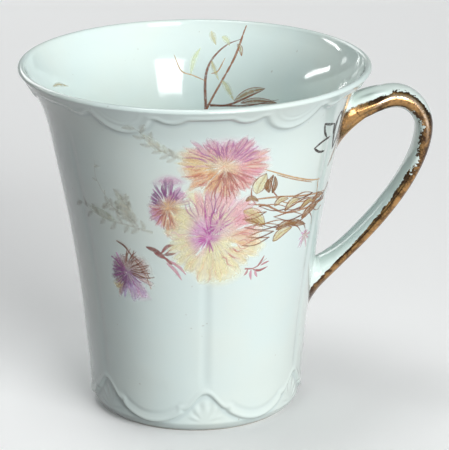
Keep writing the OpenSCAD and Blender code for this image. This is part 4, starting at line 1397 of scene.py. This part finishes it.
RED_SPRIGS = [
    [((-21.4, 43.9), (-17.0, 43.2), (-12.6, 41.8)), 1.15, "leaf", 0.0],
    [((-17.8, 42.8), (-15.0, 42.0), (-11.4, 41.4)), 0.80, "leaf", 0.25],
    [((-14.6, 42.6), (-11.6, 44.4), (-8.4, 44.9)), 0.80, "leaf", 0.2],
    [((-13.6, 42.4), (-10.6, 42.6), (-7.8, 43.0)), 0.69, "leaf", 0.05],
    [((-13.0, 41.8), (-11.0, 40.8), (-9.6, 40.2)), 0.69, "leaf", 0.3],
    [((-12.5, 42.6), (-8.2, 44.4), (-3.2, 45.2)), 0.35, "taper", 0.3],
    [((-12.4, 40.6), (-8.6, 38.9), (-5.6, 36.6)), 0.80, "leaf", 0.95],
    [((-11.2, 41.2), (-6.9, 39.8), (-3.6, 37.9)), 0.69, "leaf", 0.9],
    [((23.2, 38.6), (28.0, 38.5), (34.0, 40.2)), 0.46, "taper", 0.4],
    [((27.0, 38.2), (30.6, 37.7), (35.0, 38.2)), 0.58, "leaf", 0.4],
    [((29.4, 38.6), (31.2, 39.7), (32.6, 41.0)), 0.58, "leaf", 0.4],
    [((31.0, 38.8), (33.2, 39.2), (35.6, 39.4)), 0.46, "leaf", 0.6],
    [((26.4, 38.2), (26.2, 37.0), (26.8, 35.7)), 0.69, "leaf", 0.95],
    [((28.4, 38.0), (28.8, 37.0), (29.8, 36.2)), 0.58, "leaf", 0.95],
    [((24.6, 38.4), (24.0, 37.6), (22.8, 37.0)), 0.46, "leaf", 0.7],
]
# Dark outlines of the small bloom's drooping petals, and the stroke of its stalk
CALYX = rays((-33.0, 37.6), (-24, 78), 15, 2.0, (7.4, 5.8), 0.26, 0.08, 64)
CALYX += [[((-36.0, 44.2), (-31.5, 43.2), (-27.6, 40.6)), 0.5, "leaf", 0.0],
          [((-28.4, 41.6), (-24.0, 39.6), (-20.4, 36.4)), 0.3, "taper", 0.1],
          [((-27.0, 40.4), (-22.8, 37.6), (-20.2, 34.0)), 0.26, "taper", 0.2]]
GREY_SPRAYS = (
    twig(((-17.6, 47.4), (-27.6, 48.3), (-42, 48.9), (-58, 51.0)), 1.0, 0.2, 12, (3.0, 1.7), 3)
    + twig(((-24, 48.4), (-29.0, 51.5), (-30.5, 55.2)), 1.0, 0.3, 12, (2.8, 1.9), 4)
    + twig(((-32, 50.6), (-36.0, 52.2), (-39.0, 52.6)), 0.8, 0.3, 6, (2.4, 1.7), 7)
    + twig(((-3.5, 65.0), (-8.3, 65.6), (-14.6, 68.0), (-21.0, 72.4)), 1.0, 0.4, 12, (2.6, 1.6), 5)
    + twig(((-36, 52.6), (-40, 55.4), (-42.5, 58.6), (-41.5, 62.0)), 0.4, 0.7, 3, (1.4, 0.8), 6))
for name, strokes, enamel, lift in (
        ("front_stems", FRONT_STEMS, stem_enamel, 0.0),
        ("front_leaves", FRONT_LEAVES, leaf_enamel, 0.17),
        ("leaf_outlines", LEAF_OUTLINES, stem_enamel, 0.23),
        ("red_sprigs", RED_SPRIGS, red_enamel, 0.0),
        ("calyx_strokes", CALYX, stem_enamel, 0.18),
        ("grey_sprays", GREY_SPRAYS, grey_enamel, 0.0)):
    painted(name, "front_spray", strokes, enamel, VIEW_MIDDLE, lift=lift)
bud_enamel = bloom_material(
    "bud_enamel", [(0.0, LAVENDER), (0.3, (0.55, 0.32, 0.42)), (0.6, MAUVE), (1.0, LAVENDER)],
    [(0.0, MAUVE), (0.5, RUSSET), (1.0, MAUVE)], RUSSET, PURPLE, line=0.5, thin=0.5)
set_bloom("mauve_bud", "front_spray", bud_enamel, VIEW_MIDDLE, (58.0, 42.8),
          (3.4, 2.6, 1.4, 4.2), petals=24, fullness=2.0, width=0.36, opening=0.3, seed=14)


# Inside spray
# A forked brown stem with olive leaves, painted inside the lip on the far side, where it shows
# over the near rim.
INSIDE_MIDDLE = VIEW_MIDDLE + 180.0
INWARD = -1.0
INSIDE_STEMS = [
    [((18.1, 76.2), (15.2, 69.2), (6.1, 59.8), (3.0, 56.5)), 0.55, "line", 0.35],
    [((4.2, 58.0), (3.8, 64.9), (6.2, 68.9), (11.5, 72.0), (17.3, 73.5)), 0.75, "taper", 0.15],
    [((4.7, 59.2), (14.6, 59.4), (29, 63.1)), 0.5, "line", 0.2],
    [((6.1, 59.0), (23.4, 59.6), (38.8, 62.0)), 0.5, "taper", 0.0],
    [((-9, 70.0), (-6.4, 66.6), (-1.6, 65.6), (3.8, 64.4)), 0.26, "line", 0.95],
    [((6.2, 66.0), (9.0, 66.6), (11.6, 69.4)), 0.3, "line", 0.7],
]
INSIDE_LEAVES = [
    [((6.0, 68.8), (7.4, 67.0), (9.6, 64.6)), 1.07, "leaf", 0.5],
    [((11.0, 64.6), (13.6, 63.0), (16.8, 60.4)), 1.48, "leaf", 0.7],
    [((5.4, 74.8), (6.2, 73.6), (7.6, 72.0)), 1.23, "leaf", 0.5],
    [((9.6, 73.8), (11.4, 73.2), (13.0, 72.0)), 1.23, "leaf", 0.85],
    [((17.0, 60.4), (24.0, 62.6), (31.0, 63.8)), 1.56, "leaf", 0.2],
    [((20.0, 60.0), (28.0, 60.9), (38.0, 61.2)), 1.31, "leaf", 0.05],
    [((16.0, 72.4), (17.4, 71.6), (18.4, 70.0)), 0.74, "leaf", 0.9],
    [((-2.4, 65.8), (-1.0, 69.0), (1.6, 71.4)), 1.23, "leaf", 1.0],
    [((-75.8, 69.3), (-70, 68.9), (-63.2, 67.6)), 0.82, "leaf", 0.2],
]
INSIDE_TINTS = [(0.0, (0.30, 0.20, 0.10)), (0.5, (0.48, 0.43, 0.21)), (1.0, (0.60, 0.64, 0.38))]
inside_enamel = enamel_material("inside_leaf_enamel", INSIDE_TINTS, 0.72, soft=0.1, pale=0.2)
INSIDE_OUTLINES = leaf_edges(INSIDE_LEAVES[4:7], 0.16, 0.3)
for name, strokes, enamel, lift in (
        ("inside_stems", INSIDE_STEMS, stem_enamel, 0.0),
        ("inside_leaves", INSIDE_LEAVES, inside_enamel, 0.0),
        ("inside_outlines", INSIDE_OUTLINES, stem_enamel, 0.06)):
    painted(name, "inside_spray", strokes, enamel, INSIDE_MIDDLE, INWARD, lift)


# Back sprig
# One small bloom with a stem and leaves on the far side, in the same enamels. The photograph
# doesn't show that side, so this is the usual single sprig.
BACK_MIDDLE = 90.0
BACK_STEMS = [
    [((3, 47.0), (10, 43.0), (22, 40.8)), 0.6, "taper", 0.3],
    [((12, 42.6), (17, 44.2), (21, 44.4)), 0.4, "line", 0.5],
    [((-3, 47.2), (-9, 46.0), (-15, 46.6)), 0.4, "taper", 0.6],
]
BACK_LEAVES = [
    [((10, 43.2), (14, 41.4), (20, 38.6)), 1.8, "leaf", 0.6],
    [((19, 44.0), (23, 45.4), (28, 45.4)), 1.4, "leaf", 0.5],
    [((-14, 46.6), (-18, 48.2), (-22, 48.2)), 1.5, "leaf", 0.7],
    [((-12, 46.4), (-15, 44.6), (-19, 43.8)), 1.2, "leaf", 0.3],
]
painted("back_stems", "back_sprig", BACK_STEMS, stem_enamel, BACK_MIDDLE)
painted("back_leaves", "back_sprig", BACK_LEAVES, leaf_enamel, BACK_MIDDLE)
set_bloom("back_bloom", "back_sprig", side_enamel, BACK_MIDDLE, (0.0, 49.0),
          (5.2, 5.2, 4.4, 4.4), petals=80, fullness=2.2, width=0.42, opening=0.45, seed=31)


# Studio
# A pale table under plain soft light: a key lamp and a window-like lamp in front to the right,
# weaker ones overhead and behind, a small pane on the left, and the photograph's camera.
TABLE_HALF = 3.0
TABLE_LOW, TABLE_HIGH = (0.91, 0.92, 0.92, 1.0), (0.95, 0.96, 0.96, 1.0)
TABLE_UNDER_LAMPS = (0.30, 0.305, 0.305, 1.0)
TABLE_UNSEEN = (0.15, 0.155, 0.155, 1.0)
TABLE_GLOW, TABLE_GLOW_COLOR = 0.08, (0.97, 1.0, 1.0, 1.0)
# The place below the front lamps, the radius in metres that is grey there, and the width over
# which that fades
LAMP_X, LAMP_Y, LAMP_POOL, LAMP_FADE = 0.54, -1.015, 0.35, 0.75
AIR_UNSEEN, AIR_SEEN = (0.02, 0.021, 0.022, 1.0), (0.22, 0.26, 0.255, 1.0)


def in_view(tree):
    """One for rays from the camera, in a reflection or through glass, and nothing for others."""
    light_path = add(tree, "ShaderNodeLightPath")
    kinds = ("Is Camera Ray", "Is Glossy Ray", "Is Transmission Ray")
    camera_ray, glossy_ray, glass_ray = (Field(tree, light_path.outputs[kind]) for kind in kinds)
    return (camera_ray + glossy_ray + glass_ray).math("MINIMUM", 1.0)


def table_material():
    """Pale matte paper, greyer below the front lamps, where it would shine white from behind."""
    material, tree, shader = new_material("pale_table")
    fibre = noise(tree, 900.0, 4.0)
    x, y, _ = parts(tree, own_place(tree))
    away_x, away_y = x - LAMP_X, y - LAMP_Y
    clear = ((away_x * away_x + away_y * away_y).math("SQRT") - LAMP_POOL) / LAMP_FADE
    pale = blend(tree, clear.math("MINIMUM", 1.0).math("MAXIMUM", 0.0), TABLE_UNDER_LAMPS,
                 blend(tree, fibre, TABLE_LOW, TABLE_HIGH))
    dress(tree, shader, {
        "Base Color": blend(tree, in_view(tree), TABLE_UNSEEN, pale),
        "Roughness": fibre.ease(0.2, 0.8, 0.75, 0.9), "Specular IOR Level": 0.1,
        "Emission Color": TABLE_GLOW_COLOR, "Emission Strength": in_view(tree) * TABLE_GLOW})
    return material


table_mesh = bpy.data.meshes.new("table_top")
table_mesh.from_pydata([(x * TABLE_HALF, y * TABLE_HALF, 0)
                        for x, y in ((-1, -1), (1, -1), (1, 1), (-1, 1))], [], [(0, 1, 2, 3)])
table_mesh.materials.append(table_material())
table = bpy.data.objects.new("table_top", table_mesh)
bpy.context.scene.collection.objects.link(table)

world = bpy.data.worlds.new("studio_air")
world.use_nodes = True
bpy.context.scene.world = world
air = world.node_tree
plug(air, blend(air, in_view(air), AIR_UNSEEN, AIR_SEEN), air.nodes["Background"].inputs["Color"])

LAMP_REACH = 1.2
LAMP_AIM = Vector((0, 0, 0.05))


def bearing_to(turn, rise):
    """Direction at a turn to the right of the front and a rise above the table, in degrees."""
    turn, rise = math.radians(turn), math.radians(rise)
    return Vector((math.sin(turn) * math.cos(rise), -math.cos(turn) * math.cos(rise),
                   math.sin(rise)))


def aimed(name, data, aim, away, reach):
    """A lamp or camera that looks from a distance at a place."""
    holder = bpy.data.objects.new(name, data)
    holder.location = aim + away * reach
    holder.rotation_euler = (-away).to_track_quat("-Z", "Y").to_euler()
    bpy.context.scene.collection.objects.link(holder)
    return holder


def lamp(name, turn, rise, size, power, in_glaze=True):
    """A rectangular soft lamp, which shows in the glaze unless told otherwise."""
    light = bpy.data.lights.new(name, "AREA")
    light.shape = "RECTANGLE"
    light.size, light.size_y = size
    light.energy = power
    aimed(name, light, LAMP_AIM, bearing_to(turn, rise), LAMP_REACH).visible_glossy = in_glaze


lamp("key_lamp", 38, 17, (0.5, 0.5), 8.0, in_glaze=False)
lamp("window_lamp", 17, 19, (0.44, 0.68), 8.0)
lamp("top_lamp", -95, 80, (0.5, 0.5), 4.2)
lamp("back_lamp", -158, 27, (0.7, 0.5), 2.6)
lamp("rear_fill", 178, 18, (0.6, 0.6), 2.4, in_glaze=False)
lamp("left_pane", -118, 17, (0.5, 0.06), 1.0)

VIEW_RISE, VIEW_REACH = 18.42, 0.6
FOCUS_PX, LONG_SIDE_PX = 2740.1, 450.0
AIM_HEIGHT, AIM_RIGHT = 0.04005, 0.00635
SENSOR = 36.0
view_turn = math.radians(VIEW_BEARING)
right = Vector((math.cos(view_turn), math.sin(view_turn), 0.0))
lens = bpy.data.cameras.new("photo_camera")
lens.sensor_width = SENSOR
lens.lens = FOCUS_PX * SENSOR / LONG_SIDE_PX
lens.clip_start, lens.clip_end = 0.01, 20.0
bpy.context.scene.camera = aimed(
    "photo_camera", lens, Vector((0.0, 0.0, AIM_HEIGHT)) + right * AIM_RIGHT,
    bearing_to(VIEW_BEARING, VIEW_RISE), VIEW_REACH)
bpy.context.scene.view_settings.view_transform = "Standard"
